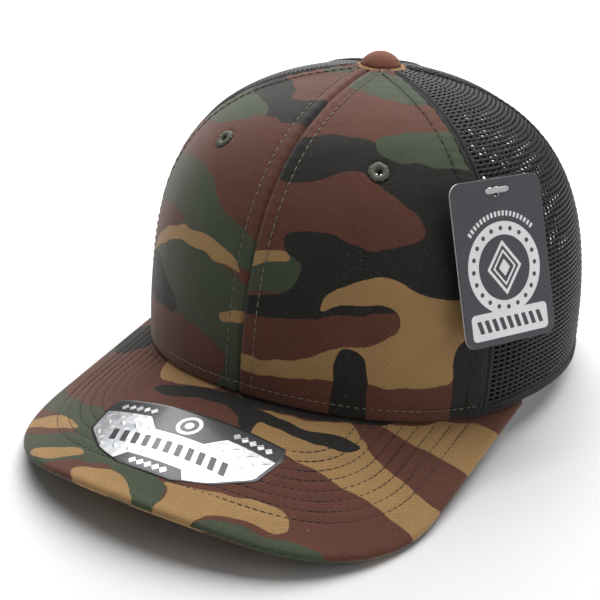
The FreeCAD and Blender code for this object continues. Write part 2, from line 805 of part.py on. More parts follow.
def dome_profile(radius, top, bottom, thickness):
    """Half section of a hollow spherical cap: outer arc, apex, inner arc and lower edge."""
    rise = top - bottom
    ball = (radius * radius + rise * rise) / (2 * rise)
    centre = Vector(0, top - ball, 0)
    drop = bottom - centre.y
    quarter = math.pi / 2
    inner_ball = ball - thickness
    outer = arc(centre, ball, math.asin(drop / ball), quarter)
    inner = arc(centre, inner_ball, math.asin(drop / inner_ball), quarter)
    return [
        outer,
        Part.LineSegment(outer.EndPoint, inner.EndPoint),
        inner,
        Part.LineSegment(inner.StartPoint, outer.StartPoint),
    ]


def make_button():
    """Cloth-covered shell, the core and shank that it is pressed on, and the washer inside the crown."""
    apex = Placement(Vector(0, size("apex_shift"), size("crown_height")), Rotation())
    wall = size("button_wall")
    shell = new_body("ButtonShell")
    sketch = new_sketch(shell, "ShellProfile", "XZ_Plane")
    draw_path(
        sketch, dome_profile(size("button_radius"), size("button_rise"), -size("button_skirt"), wall)
    )
    add_revolution(shell, sketch)
    finish(shell, "button_shell", apex)
    core = new_body("ButtonCore")
    sketch = new_sketch(core, "CoreProfile", "XZ_Plane")
    shank = cell("shank_radius")
    disc = "(%s - %s - 0.9)" % (cell("button_radius"), cell("button_wall"))
    top = "%s * 0.42" % cell("button_rise")
    under = "0.25"
    foot = "-(%s + %s)" % (cell("washer_drop"), cell("washer_thickness"))
    head = "%s + 0.7" % shank
    corners = [
        ("0", top),
        ("%s * 0.75" % disc, top),
        (disc, under),
        (shank, under),
        (shank, foot),
        (head, foot),
        (head, "%s - 0.6" % foot),
        ("0", "%s - 0.6" % foot),
    ]
    draw_polygon(sketch, corners)
    add_revolution(core, sketch)
    finish(core, "button_core", apex)
    washer = new_body("ButtonWasher")
    sketch = new_sketch(washer, "WasherProfile", "XZ_Plane")
    bore = "%s + 0.05" % shank
    high = "-%s" % cell("washer_drop")
    low = "-(%s + %s - 0.05)" % (cell("washer_drop"), cell("washer_thickness"))
    edge = cell("washer_radius")
    draw_polygon(sketch, [(bore, high), (edge, high), (edge, low), (bore, low)])
    add_revolution(washer, sketch)
    finish(washer, "button_washer", apex)


# ---------------------------------------------------------------- snap strap


def rim_inside(lean):
    """Point at the straps' depth inside the back of the rim, where the rim faces a given direction."""
    side = size("opening_side")
    back = size("opening_back")
    direction = Vector(math.sin(lean), math.cos(lean), 0)
    reach = math.hypot(side * direction.x, back * direction.y)
    rim = Vector(side * side * direction.x / reach, back * back * direction.y / reach, 0)
    return rim - direction * size("strap_depth")


def bend_to_rim(middle):
    """Radius and turn of the bend that leads a strap from its flat into the rim's inner side."""
    flat = size("strap_flat")
    low = math.radians(25)
    high = math.radians(50)
    for _ in range(40):
        turn = (low + high) / 2
        point = rim_inside(turn)
        along = (point.x - flat) / math.sin(turn)
        across = (middle - point.y) / (1 - math.cos(turn))
        if along > across:
            low = turn
        else:
            high = turn
    return along, turn


def strap_edge(side, middle, depth):
    """Start, middle and end points of a strap's bend and of its sewn tail, on one face."""
    bend, turn = bend_to_rim(middle)
    tail = size("strap_tail_radius")
    centre = Vector(size("strap_flat"), middle - bend, 0)
    tail_centre = centre + Vector(math.sin(turn), math.cos(turn), 0) * (bend - tail)
    tail_end = math.radians(size("strap_tail_end"))
    points = []
    for hub, radius, start, end in (
        (centre, bend, 0, turn),
        (tail_centre, tail, turn, tail_end),
    ):
        for angle in (start, (start + end) / 2, end):
            points.append(hub + Vector(math.sin(angle), math.cos(angle), 0) * (radius + depth))
    return [Vector(side * point.x, point.y, 0) for point in points]


def strap_outline(side, tip, offset):
    """Plan outline of a strap from its sewn tail to its tip, or to the bending line if it has none."""
    half = size("strap_thickness") / 2
    middle = size("strap_back") + half + offset
    outer = strap_edge(side, middle, half)
    inner = strap_edge(side, middle, -half)
    edges = [
        Part.Arc(outer[0], outer[1], outer[2]),
        Part.Arc(outer[3], outer[4], outer[5]),
        Part.LineSegment(outer[5], inner[5]),
        Part.Arc(inner[5], inner[4], inner[3]),
        Part.Arc(inner[2], inner[1], inner[0]),
    ]
    if tip is None:
        return edges + [Part.LineSegment(inner[0], outer[0])]
    tip_out = Vector(tip, middle + half, 0)
    tip_in = Vector(tip, middle - half, 0)
    edges.append(Part.LineSegment(inner[0], tip_in))
    edges.append(Part.LineSegment(tip_in, tip_out))
    edges.append(Part.LineSegment(tip_out, outer[0]))
    return edges


def strap_body(name, edges, bottom, height):
    """Strap padded upwards from a plan outline; bottom and height are expressions."""
    body = new_body(name)
    sketch = new_sketch(body, name + "Sketch", "XY_Plane")
    sketch.AttachmentOffset = Placement(Vector(0, 0, float(sketch.evalExpression(bottom))), Rotation())
    sketch.setExpression("AttachmentOffset.Base.z", bottom)
    draw_path(sketch, edges)
    add_pad(body, sketch, height)
    return body


def pierce(body, first, count):
    """Row of holes through a strap, from the first hole along +X at the peg pitch."""
    sketch = new_sketch(body, body.Name + "Holes", "XZ_Plane")
    middle = "%s + %s / 2" % (cell("strap_bottom"), cell("strap_width"))
    draw_circle(sketch, first, middle, cell("hole_radius"))
    pocket = body.newObject("PartDesign::Pocket", "Pocket")
    pocket.Profile = sketch
    pocket.Type = "ThroughAll"
    pocket.Midplane = True
    row = body.newObject("PartDesign::LinearPattern", "HoleRow")
    row.Originals = [pocket]
    row.Direction = (sketch, ["H_Axis"])
    row.Occurrences = count
    row.setExpression("Length", "%s * %d" % (cell("peg_pitch"), count - 1))
    body.Tip = row


def peg_places():
    """Plan position and outward direction of each peg: three under the hole strap, two beside it."""
    pitch = size("peg_pitch")
    face = size("strap_back") + size("strap_thickness")
    flat = size("strap_flat")
    middle = size("strap_back") + size("strap_thickness") / 2
    bend = bend_to_rim(middle)[0]
    places = [(Vector(-pitch * index, face, 0), Vector(0, 1, 0)) for index in range(3)]
    hub = Vector(-flat, middle - bend, 0)
    for index in (3, 4):
        angle = (pitch * index - flat) / bend
        direction = Vector(-math.sin(angle), math.cos(angle), 0)
        places.append((hub + direction * (bend + size("strap_thickness") / 2), direction))
    return places


def make_straps():
    """Peg strap on the wearer's right; hole strap on the left, split at its bending line."""
    bottom = cell("strap_bottom")
    width = cell("strap_width")
    trim = cell("strap_trim")
    trimmed = "%s - 2 * %s" % (width, trim)
    lifted = "%s + %s" % (bottom, trim)
    layer = size("strap_thickness") + size("strap_clearance")
    strap = strap_body("PegStrap", strap_outline(RIGHT, size("peg_strap_end"), 0), bottom, width)
    middle = size("strap_bottom") + size("strap_width") / 2
    sink = 0.3
    shapes = [strap]
    for index, (place, direction) in enumerate(peg_places()):
        turn = Rotation(Vector(0, 0, 1), direction)
        foot = Vector(place.x, place.y, middle) - direction * sink
        stud = doc.addObject("Part::Cylinder", "Peg%d" % index)
        stud.setExpression("Radius", cell("peg_radius"))
        stud.setExpression("Height", "%s + %g" % (cell("peg_height"), sink))
        stud.Placement = Placement(foot, turn)
        tip = doc.addObject("Part::Cone", "PegTip%d" % index)
        tip.setExpression("Radius1", cell("peg_radius"))
        tip.setExpression("Radius2", cell("peg_tip_radius"))
        tip.setExpression("Height", cell("peg_tip"))
        tip.Placement = Placement(foot + direction * (size("peg_height") + sink), turn)
        shapes += [stud, tip]
    joined = doc.addObject("Part::MultiFuse", "PegStrapWithPegs")
    joined.Shapes = shapes
    finish(joined, "peg_strap")
    root = strap_body("StrapRoot", strap_outline(LEFT, None, layer), lifted, trimmed)
    pierce(root, "%s * 3" % cell("peg_pitch"), 2)
    finish(root, "strap_root")
    flap = new_body("StrapFlap")
    sketch = new_sketch(flap, "StrapFlapSketch", "XY_Plane")
    sketch.AttachmentOffset = Placement(Vector(0, 0, size("strap_bottom")), Rotation())
    sketch.setExpression("AttachmentOffset.Base.z", lifted)
    inner = "%s + %s + %s" % (cell("strap_back"), cell("strap_thickness"), cell("strap_clearance"))
    outer = "%s + %s" % (inner, cell("strap_thickness"))
    tip = cell("flap_end")
    line = cell("strap_flat")
    draw_polygon(sketch, [(tip, inner), (line, inner), (line, outer), (tip, outer)])
    add_pad(flap, sketch, trimmed)
    pierce(flap, "-%s * 2" % cell("peg_pitch"), 5)
    finish(flap, "strap_flap")


# ---------------------------------------------------------------- hang tag


def rounded_card(half_width, low, high, radius):
    """Rounded rectangle outline."""
    left = -half_width
    right = half_width
    quarter = math.pi / 2
    return [
        Part.LineSegment(Vector(left + radius, low, 0), Vector(right - radius, low, 0)),
        arc(Vector(right - radius, low + radius, 0), radius, -quarter, 0),
        Part.LineSegment(Vector(right, low + radius, 0), Vector(right, high - radius, 0)),
        arc(Vector(right - radius, high - radius, 0), radius, 0, quarter),
        Part.LineSegment(Vector(right - radius, high, 0), Vector(left + radius, high, 0)),
        arc(Vector(left + radius, high - radius, 0), radius, quarter, 2 * quarter),
        Part.LineSegment(Vector(left, high - radius, 0), Vector(left, low + radius, 0)),
        arc(Vector(left + radius, low + radius, 0), radius, 2 * quarter, 3 * quarter),
    ]


def make_tag():
    """Two glued card leaves with a T-shaped hang slot."""
    half_width = size("tag_width") / 2
    low = -size("tag_drop") - size("tag_height") / 2
    high = low + size("tag_height")
    bar = cell("slot_half_width")
    tall = cell("slot_half_height")
    stem = cell("slot_stem_half_width")
    drop = cell("slot_stem_drop")
    slot = [
        ("-" + bar, "-" + tall),
        ("-" + stem, "-" + tall),
        ("-" + stem, "-" + drop),
        (stem, "-" + drop),
        (stem, "-" + tall),
        (bar, "-" + tall),
        (bar, tall),
        ("-" + bar, tall),
    ]
    leaf = cell("tag_leaf")
    for name, offset in (("front", "0.01"), ("back", "-%s - 0.01" % leaf)):
        body = new_body("Tag" + name.capitalize())
        sketch = new_sketch(body, "CardOutline", "XY_Plane")
        sketch.AttachmentOffset = Placement(Vector(0, 0, float(sketch.evalExpression(offset))), Rotation())
        sketch.setExpression("AttachmentOffset.Base.z", offset)
        draw_path(sketch, rounded_card(half_width, low, high, size("tag_corner")))
        add_pad(body, sketch, leaf)
        opening = new_sketch(body, "HangSlot", "XY_Plane")
        draw_polygon(opening, slot)
        pocket = body.newObject("PartDesign::Pocket", "Pocket")
        pocket.Profile = opening
        pocket.Type = "ThroughAll"
        pocket.Midplane = True
        body.Tip = pocket
        finish(body, "hang_tag_" + name, tag_placement())


def make_fastener():
    """Nylon fastener: cross bar inside the crown, filament out to the slot, paddle on the tag."""
    behind = size("bar_depth") + size("tag_standoff")
    bar = doc.addObject("Part::Cylinder", "CrossBar")
    bar.setExpression("Radius", cell("bar_radius"))
    bar.setExpression("Height", "2 * %s" % cell("bar_half_length"))
    bar.Placement = Placement(
        Vector(-size("bar_half_length"), 0, -behind), Rotation(Vector(0, 0, 1), Vector(1, 0, 0))
    )
    filament = doc.addObject("Part::Cylinder", "Filament")
    filament.setExpression("Radius", cell("filament_radius"))
    reach = "%s + %s - %s" % (cell("bar_depth"), cell("tag_standoff"), "0.4")
    filament.setExpression("Height", reach)
    filament.Placement = Placement(Vector(0, 0, -behind), Rotation())
    finish(boolean("Fuse", "Fastener", bar, filament), "tag_fastener", tag_placement())
    paddle = doc.addObject("Part::Box", "Paddle")
    paddle.setExpression("Length", "2 * %s" % cell("paddle_half_width"))
    paddle.setExpression("Width", cell("paddle_height"))
    paddle.setExpression("Height", cell("paddle_thickness"))
    corner = Vector(-size("paddle_half_width"), -size("paddle_height") / 2, size("tag_leaf") + 0.06)
    finish(paddle, "tag_paddle", tag_placement().multiply(Placement(corner, Rotation())))


# ---------------------------------------------------------------- build and write


def check_document():
    """Stop if any object failed or any sub-part has no valid shape."""
    for item in doc.Objects:
        if "Invalid" in item.State or "Error" in item.State:
            raise RuntimeError("%s failed: %s" % (item.Name, item.State))
    for label, item in nodes.items():
        if item.Shape.isNull() or not item.Shape.isValid():
            raise RuntimeError("%s has no valid shape" % label)
        if item.Shape.Volume <= 0:
            raise RuntimeError("%s has no volume" % label)


def main():
    """Build every sub-part and write it to its own file."""
    make_front_panels()
    make_mesh_panels()
    make_seam_tapes()
    make_opening_binding()
    make_rim_and_band()
    make_visor()
    make_sticker()
    make_eyelets()
    make_button()
    make_straps()
    make_tag()
    make_fastener()
    doc.recompute()
    check_document()
    os.makedirs("parts", exist_ok=True)
    for label, item in nodes.items():
        shape = item.Shape
        shape.exportStep(os.path.join("parts", label + ".step"))
        box = shape.BoundBox
        print(
            "%-28s solids %d volume %9.1f  z %7.2f %7.2f"
            % (label, len(shape.Solids), shape.Volume, box.ZMin, box.ZMax)
        )


main()
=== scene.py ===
"""Trucker cap: camouflage cloth front and visor, black net sides, snap strap, visor sticker and hang tag.

Shapes are worked out in the wearer's head frame, in metres: +Z up, the visor towards -Y and the
wearer's left towards +X. Each piece is then stood on its visor and strap, as the CAD frame stands, and
rides on one of its bodies.
"""

import logging
import math
from collections.abc import Callable, Sequence
from dataclasses import dataclass, field
from enum import Enum

import bmesh
import bpy
import numpy as np
from mathutils import Matrix, Vector


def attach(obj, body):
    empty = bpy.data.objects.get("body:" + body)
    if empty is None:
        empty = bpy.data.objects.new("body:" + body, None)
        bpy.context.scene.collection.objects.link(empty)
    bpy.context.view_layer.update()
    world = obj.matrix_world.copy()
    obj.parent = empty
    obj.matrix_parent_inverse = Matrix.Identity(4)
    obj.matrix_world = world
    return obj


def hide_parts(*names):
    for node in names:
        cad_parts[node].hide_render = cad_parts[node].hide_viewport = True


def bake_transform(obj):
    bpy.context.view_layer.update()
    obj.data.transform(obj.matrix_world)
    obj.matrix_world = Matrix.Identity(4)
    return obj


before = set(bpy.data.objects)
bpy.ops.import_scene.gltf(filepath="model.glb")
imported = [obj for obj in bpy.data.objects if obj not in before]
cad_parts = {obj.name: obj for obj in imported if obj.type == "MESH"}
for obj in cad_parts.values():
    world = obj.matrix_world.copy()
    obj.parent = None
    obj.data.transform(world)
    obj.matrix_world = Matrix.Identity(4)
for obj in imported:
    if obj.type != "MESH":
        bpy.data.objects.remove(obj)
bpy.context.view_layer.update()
log = logging.getLogger("trucker_cap")

MM = 0.001
Array = np.ndarray
Fields = dict[str, Array]
Material = bpy.types.Material


# ---------------------------------------------------------------- shape of the cap


def circle_points(x: float, y: float, radius: float, turn: Array) -> Array:
    """Points of a circle at given directions."""
    return np.stack([x + radius * np.cos(turn), y + radius * np.sin(turn)], -1)


@dataclass(frozen=True)
class CapForm:
    """Surfaces of the crown and the visor in the head frame."""

    opening_front: float = 95.3 * MM
    opening_back: float = 98.2 * MM
    opening_side: float = 85.2 * MM
    height: float = 115.8 * MM
    apex_y: float = -2.0 * MM
    rim_front: float = 8.7 * MM
    rim_back: float = -2.1 * MM
    rim_lift: float = 0.65 * MM
    rise: tuple[float, float, float] = (0.630, 0.630, 0.564)
    spread: tuple[float, float, float] = (0.748, 0.879, 0.626)
    bulge: tuple[float, float, float] = (0.017, 0.042, -0.029)
    dome: tuple[float, float, float] = (0.079, 0.090, 0.051)
    seam_front: float = math.radians(58.1)
    seam_back: float = math.radians(119.0)
    panel_top: float = 0.965
    cloth: float = 0.9 * MM
    visor_corner: float = math.radians(73.7)
    visor_length: float = 63.7 * MM
    visor_half_width: float = 83.1 * MM
    visor_front_radius: float = 139.6 * MM
    visor_corner_radius: float = 59.3 * MM
    visor_slope: float = math.tan(math.radians(12.34))
    visor_bend: float = 170.0 * MM
    visor_tuck: float = 3.0 * MM
    arch_half_width: float = 48.0 * MM
    arch_height: float = 57.0 * MM
    rest_tilt: float = math.radians(5.1)
    rest_height: float = 9.31 * MM

    def stand(self, points: Array) -> Array:
        """Move points from the head frame to the cap standing on the ground.

        Args:
            points: Positions, with x, y and z in the last dimension.

        Returns:
            The same positions in the row's frame.
        """
        points = np.asarray(points, float)
        along = math.cos(self.rest_tilt)
        lean = math.sin(self.rest_tilt)
        y = points[..., 1] * along + points[..., 2] * lean
        z = points[..., 2] * along - points[..., 1] * lean + self.rest_height
        return np.stack([points[..., 0], y, z], -1)

    def turn(self, directions: Array) -> Array:
        """Directions of the head frame, in the row's frame."""
        return self.stand(directions) - self.stand(np.zeros(3))

    @staticmethod
    def blend_round(values: tuple[float, float, float], angle: Array) -> Array:
        """Coefficient at an angle, blended from its front, side and back values.

        Args:
            values: Coefficients in front, at the sides and at the back.
            angle: Angles from the front towards the wearer's left, in radians.

        Returns:
            One coefficient for each angle.
        """
        front, side, back = values
        mean = (front + back) / 4 + side / 2
        swing = (front + back) / 4 - side / 2
        return mean + (front - back) / 2 * np.cos(angle) + swing * np.cos(2 * angle)

    def visor_top(self, x: Array, y: Array) -> Array:
        """Height of the visor's top face."""
        sag = self.visor_bend - np.sqrt(self.visor_bend**2 - np.square(x))
        return self.rim_front + self.visor_slope * (y + self.opening_front) - sag

    def rim_plan(self, angle: Array, inset: float = 0.0) -> Array:
        """Oval of the rim in plan, drawn inside it by an inset.

        Args:
            angle: Angles from the front towards the wearer's left, in radians.
            inset: Distance inside the rim.

        Returns:
            Plan positions, x and y.
        """
        length = np.where(np.cos(angle) > 0, self.opening_front, self.opening_back) - inset
        side = self.opening_side - inset
        reach = 1 / np.hypot(np.cos(angle) / length, np.sin(angle) / side)
        return np.stack([reach * np.sin(angle), -reach * np.cos(angle)], -1)

    def rim(self, angle: Array) -> Array:
        """Lower edge of the crown: on the visor in front, then easing down to the back.

        Args:
            angle: Angles from the front towards the wearer's left, in radians.

        Returns:
            Positions in the head frame.
        """
        plan = self.rim_plan(angle)
        turned = np.abs((angle + math.pi) % (2 * math.pi) - math.pi)
        on_visor = self.visor_top(plan[..., 0], plan[..., 1]) + self.rim_lift
        end = self.rim_plan(np.array(self.visor_corner))
        start = self.visor_top(end[0], end[1]) + self.rim_lift
        share = np.clip((turned - self.visor_corner) / (math.pi - self.visor_corner), 0, 1)
        ease = share * share * (3 - 2 * share)
        behind = start + (self.rim_back - start) * ease
        height = np.where(turned < self.visor_corner, on_visor, behind)
        return np.concatenate([plan, height[..., None]], -1)

    def surface(self, angle: Array, rise: Array) -> Array:
        """Outer face of the crown: a cubic meridian from the rim (0) to the apex (1).

        Args:
            angle: Angles from the front towards the wearer's left, in radians.
            rise: Shares of the meridian, 0 at the rim and 1 at the apex.

        Returns:
            Positions in the head frame.
        """
        angle, rise = np.broadcast_arrays(np.asarray(angle, float), np.asarray(rise, float))
        base = self.rim(angle)
        apex = np.array([0.0, self.apex_y, self.height])
        spoke = base[..., :2] - apex[:2]
        length = np.hypot(spoke[..., 0], spoke[..., 1])
        spread = self.blend_round(self.spread, angle)
        lower = np.empty_like(base)
        lower[..., :2] = apex[:2] + spoke * (1 + self.blend_round(self.bulge, angle))[..., None]
        lower[..., 2] = base[..., 2] + self.blend_round(self.rise, angle) * (apex[2] - base[..., 2])
        upper = np.empty_like(base)
        upper[..., :2] = apex[:2] + spoke * spread[..., None]
        upper[..., 2] = apex[2] - self.blend_round(self.dome, angle) * spread * length
        t = rise[..., None]
        r = 1 - t
        return base * r**3 + lower * (3 * t * r**2) + upper * (3 * t**2 * r) + apex * t**3

    def normal(self, angle: Array, rise: Array) -> Array:
        """Outward normal of the crown.

        Args:
            angle: Angles from the front towards the wearer's left, in radians.
            rise: Shares of the meridian, 0 at the rim and 1 at the apex.

        Returns:
            Unit directions.
        """
        step = 1e-3
        along = self.surface(angle + step, rise) - self.surface(angle - step, rise)
        up = self.surface(angle, rise + step) - self.surface(angle, rise - step)
        across = np.cross(along, up)
        return across / np.linalg.norm(across, axis=-1, keepdims=True)

    def crown(self, angle: Array, rise: Array, depth: Array | float = 0.0) -> Array:
        """Point at a depth below the crown's outer face.

        Args:
            angle: Angle from the front towards the wearer's left, in radians.
            rise: Share of the meridian, 0 at the rim and 1 at the apex.
            depth: Distance below the outer face; negative is proud of it.

        Returns:
            Positions in the head frame.
        """
        angle, rise, depth = np.broadcast_arrays(
            np.asarray(angle, float), np.asarray(rise, float), np.asarray(depth, float)
        )
        return self.surface(angle, rise) - self.normal(angle, rise) * depth[..., None]

    def spoke(self, angle: Array, rise: Array) -> Array:
        """Horizontal distance from the apex to the crown."""
        point = self.surface(angle, rise)
        return np.hypot(point[..., 0], point[..., 1] - self.apex_y)

    def rise_at(self, angle: Array, height: Array | float) -> Array:
        """Share of the meridian that lies at a height above the rim.

        Args:
            angle: Angles from the front towards the wearer's left, in radians.
            height: Heights above the rim.

        Returns:
            Shares of the meridian.
        """
        angle, height = np.broadcast_arrays(np.asarray(angle, float), np.asarray(height, float))
        base = self.rim(angle)[..., 2]
        low = np.zeros_like(angle)
        high = np.full_like(angle, 0.7)
        for _ in range(22):
            middle = (low + high) / 2
            under = self.surface(angle, middle)[..., 2] - base < height
            low = np.where(under, middle, low)
            high = np.where(under, high, middle)
        return low

    def visor_outline(self, side: Array | float, front: Array | float | None = None) -> Array:
        """Outline of the visor from the wearer's right end, round the front, to the left end.

        Args:
            side: Inset from the two sides.
            front: Inset from the front edge; the same as at the sides if it is left out.

        Returns:
            Evenly dense plan positions, x and y.
        """
        front = side if front is None else front
        front_radius = self.visor_front_radius - front
        corner_radius = self.visor_corner_radius - side
        corner_x = self.visor_half_width - self.visor_corner_radius
        centre_y = -self.opening_front - self.visor_length + self.visor_front_radius
        corner_y = centre_y - math.sqrt((front_radius - corner_radius) ** 2 - corner_x**2)
        meet = math.atan2(corner_y - centre_y, corner_x)
        end = self.rim_plan(np.array(self.visor_corner))
        straight = np.linspace(0, 1, 60)[:, None]
        start = np.array([end[0] - side, end[1]])
        edge = np.array([self.visor_half_width - side, corner_y])
        flank = start + (edge - start) * straight
        bend = np.linspace(0, meet, 120)
        corner = circle_points(corner_x, corner_y, corner_radius, bend)
        nose = circle_points(0.0, centre_y, front_radius, np.linspace(meet, -math.pi / 2, 120))
        left = np.concatenate([flank, corner[1:], nose[1:]])
        right = left[::-1][1:] * np.array([-1.0, 1.0])
        return np.concatenate([left, right])[::-1]

    def visor_point(self, plan: Array, depth: Array | float = 0.0) -> Array:
        """Point of the visor below its top face, from its plan position.

        Args:
            plan: Positions x and y.
            depth: Distance below the top face, along the face's normal.

        Returns:
            Positions in the head frame.
        """
        x, y = plan[..., 0], plan[..., 1]
        top = np.stack([x, y, self.visor_top(x, y)], -1)
        return top - self.visor_normal(plan) * np.broadcast_to(depth, x.shape)[..., None]

    def visor_normal(self, plan: Array) -> Array:
        """Upward normal of the visor's top face.

        Args:
            plan: Positions x and y.

        Returns:
            Unit directions.
        """
        x = plan[..., 0]
        lean = x / np.sqrt(self.visor_bend**2 - np.square(x))
        normal = np.stack([lean, np.full_like(x, -self.visor_slope), np.ones_like(x)], -1)
        return normal / np.linalg.norm(normal, axis=-1, keepdims=True)


FORM = CapForm()


# ---------------------------------------------------------------- mesh tools


def measured(path: Array) -> Array:
    """Distance of each point from the start of a path."""
    return np.concatenate([[0.0], np.cumsum(np.linalg.norm(np.diff(path, axis=0), axis=1))])


def looked_up(at: Array, run: Array, values: Array) -> Array:
    """Values at distances along a path, each column by itself."""
    return np.stack([np.interp(at, run, values[:, k]) for k in range(values.shape[1])], -1)


def resample(path: Array, count: int) -> Array:
    """Evenly spaced points along a path.

    Args:
        path: Points of the path.
        count: Number of points to give.

    Returns:
        That many points, both ends included.
    """
    run = measured(path)
    return looked_up(np.linspace(0, run[-1], count), run, path)


def waves(x: Array, y: Array, length: float, seed: int) -> Array:
    """Smooth unevenness between about -1 and 1, the same on every run.

    Args:
        x: First coordinate.
        y: Second coordinate, in the same unit.
        length: Typical wavelength, in that unit.
        seed: Number that picks the waves.

    Returns:
        One value for each position.
    """
    draw = np.random.default_rng(seed)
    total = np.zeros(np.broadcast(x, y).shape)
    count = 7
    for _ in range(count):
        direction = draw.uniform(0, math.tau)
        pace = math.tau / (length * draw.uniform(0.6, 1.6))
        phase = draw.uniform(0, math.tau)
        total = total + np.sin((x * math.cos(direction) + y * math.sin(direction)) * pace + phase)
    return total / math.sqrt(count * 2)


def bump(distance: Array, width: float) -> Array:
    """Bell curve of a distance, 1 at its middle."""
    return np.exp(-np.square(distance / width))


def grid_quads(rows: int, columns: int, ring: bool = False) -> Array:
    """Faces of a grid of points.

    Args:
        rows: Number of rows of points.
        columns: Number of points in a row.
        ring: True if the last column joins the first one.

    Returns:
        Corner indices, four to a face.
    """
    index = np.arange(rows * columns).reshape(rows, columns)
    if ring:
        index = np.concatenate([index, index[:, :1]], 1)
    corners = (index[:-1, :-1], index[:-1, 1:], index[1:, 1:], index[1:, :-1])
    return np.stack([corner.ravel() for corner in corners], -1)


def filled(points: Array, quads: Array, least: float = 1e-10) -> Array:
    """The faces that have an area, so that none is folded flat.

    Args:
        points: Points of the faces.
        quads: Corner indices, four to a face.
        least: Smallest area that is kept.

    Returns:
        The faces that are kept.
    """
    a, b, c, d = (points[quads[:, k]] for k in range(4))
    area = np.linalg.norm(np.cross(c - a, d - b), axis=-1) / 2
    return quads[area > least]


def thicken(top: Array, under: Array, quads: Array) -> tuple[Array, Array, int]:
    """Closed skin between two matching sets of points, with a wall along every open edge.

    Args:
        top: Points of the outer face.
        under: Points of the inner face, in the same order.
        quads: Faces of the outer face.

    Returns:
        All points, all faces, and how many of the last faces are edge walls.
    """
    count = len(top)
    following = np.roll(quads, -1, axis=1)
    one, other = quads.ravel(), following.ravel()
    there = one.astype(np.int64) * count + other
    back = other.astype(np.int64) * count + one
    edge = ~np.isin(there, back)
    walls = np.stack([other[edge], one[edge], one[edge] + count, other[edge] + count], -1)
    faces = np.concatenate([quads, quads[:, ::-1] + count, walls])
    return np.concatenate([top, under]), faces, len(walls)


@dataclass
class Piece:
    """One visible piece: its mesh, finish, and the CAD nodes it stands for."""

    name: str
    points: Array
    faces: Array | list[list[int]]
    material: Material
    slot: str
    body: str = "cap"
    replaces: Sequence[str] = ()
    fields: Fields = field(default_factory=dict)
    uv: Array | None = None
    walls: int = 0
    wall_material: Material | None = None
    sharp: float = 50.0

    def build(self) -> bpy.types.Object:
        """Make the Blender object.

        Returns:
            The object, riding on its body and standing for its nodes.
        """
        points, faces, fields, uv = self.points, self.faces, self.fields, self.uv
        if isinstance(faces, np.ndarray):
            used, faces = np.unique(faces, return_inverse=True)
            faces = faces.reshape(-1, 4)
            points = points[used]
            fields = {name: values[used] for name, values in fields.items()}
            uv = None if uv is None else uv[used]
            faces = faces.tolist()
        mesh = bpy.data.meshes.new(self.name)
        mesh.from_pydata(points.tolist(), [], faces)
        for name, values in fields.items():
            attribute = mesh.attributes.new(name, "FLOAT", "POINT")
            attribute.data.foreach_set("value", values.astype(np.float32))
        if uv is not None:
            corner = np.empty(len(mesh.loops), np.int32)
            mesh.loops.foreach_get("vertex_index", corner)
            layer = mesh.uv_layers.new(name="Cloth")
            layer.data.foreach_set("uv", uv[corner].astype(np.float32).ravel())
        mesh.materials.append(self.material)
        if self.wall_material is not None:
            mesh.materials.append(self.wall_material)
            index = np.zeros(len(faces), np.int32)
            index[len(faces) - self.walls :] = 1
            mesh.polygons.foreach_set("material_index", index)
        mesh.polygons.foreach_set("use_smooth", np.ones(len(faces), bool))
        mesh.update()
        mesh.set_sharp_from_angle(angle=math.radians(self.sharp))
        item = bpy.data.objects.new(self.name, mesh)
        bpy.context.scene.collection.objects.link(item)
        outward(mesh)
        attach(item, self.body)
        if self.replaces:
            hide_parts(*self.replaces)
        log.info("%s: %d faces, slot %s", self.name, len(faces), self.slot)
        return item


def outward(mesh: bpy.types.Mesh) -> None:
    """Turn every face of a closed mesh outwards.

    Args:
        mesh: Mesh to turn.
    """
    work = bmesh.new()
    work.from_mesh(mesh)
    bmesh.ops.recalc_face_normals(work, faces=work.faces)
    work.to_mesh(mesh)
    work.free()


def tubes(centres: Array, sides: Array, lifts: Array, radii: Array, around: int = 6) -> tuple[Array, list]:
    """Many short closed tubes at once.

    Args:
        centres: Centre points, tubes by rings.
        sides: Sideways direction at each ring.
        lifts: Upward direction at each ring.
        radii: Radius at each ring.
        around: Number of points round a ring.

    Returns:
        The points and the faces, with both ends closed.
    """
    count, rings = centres.shape[:2]
    turn = np.arange(around) / around * math.tau
    cross = np.cos(turn)[:, None] * sides[:, :, None, :] + np.sin(turn)[:, None] * lifts[:, :, None, :]
    points = centres[:, :, None, :] + cross * radii[..., None, None]
    quads = grid_quads(rings, around, ring=True)
    offsets = np.arange(count) * rings * around
    faces = (quads[None] + offsets[:, None, None]).reshape(-1, 4).tolist()
    first = np.arange(around)[::-1]
    last = np.arange(around) + (rings - 1) * around
    for cap in (first, last):
        faces += (cap[None] + offsets[:, None]).tolist()
    return points.reshape(-1, 3), faces


def along_path(path: Array, normals: Array, at: Array) -> tuple[Array, Array, Array]:
    """Position, direction and normal at distances along a path.

    Args:
        path: Points of the path.
        normals: Normal at each point.
        at: Distances from its start.

    Returns:
        The places, the directions and the normals.
    """
    run = measured(path)
    small = 0.2 * MM
    way = looked_up(at + small, run, path) - looked_up(at - small, run, path)
    way /= np.linalg.norm(way, axis=-1, keepdims=True) + 1e-12
    up = looked_up(at, run, normals)
    up /= np.linalg.norm(up, axis=-1, keepdims=True)
    return looked_up(at, run, path), way, up


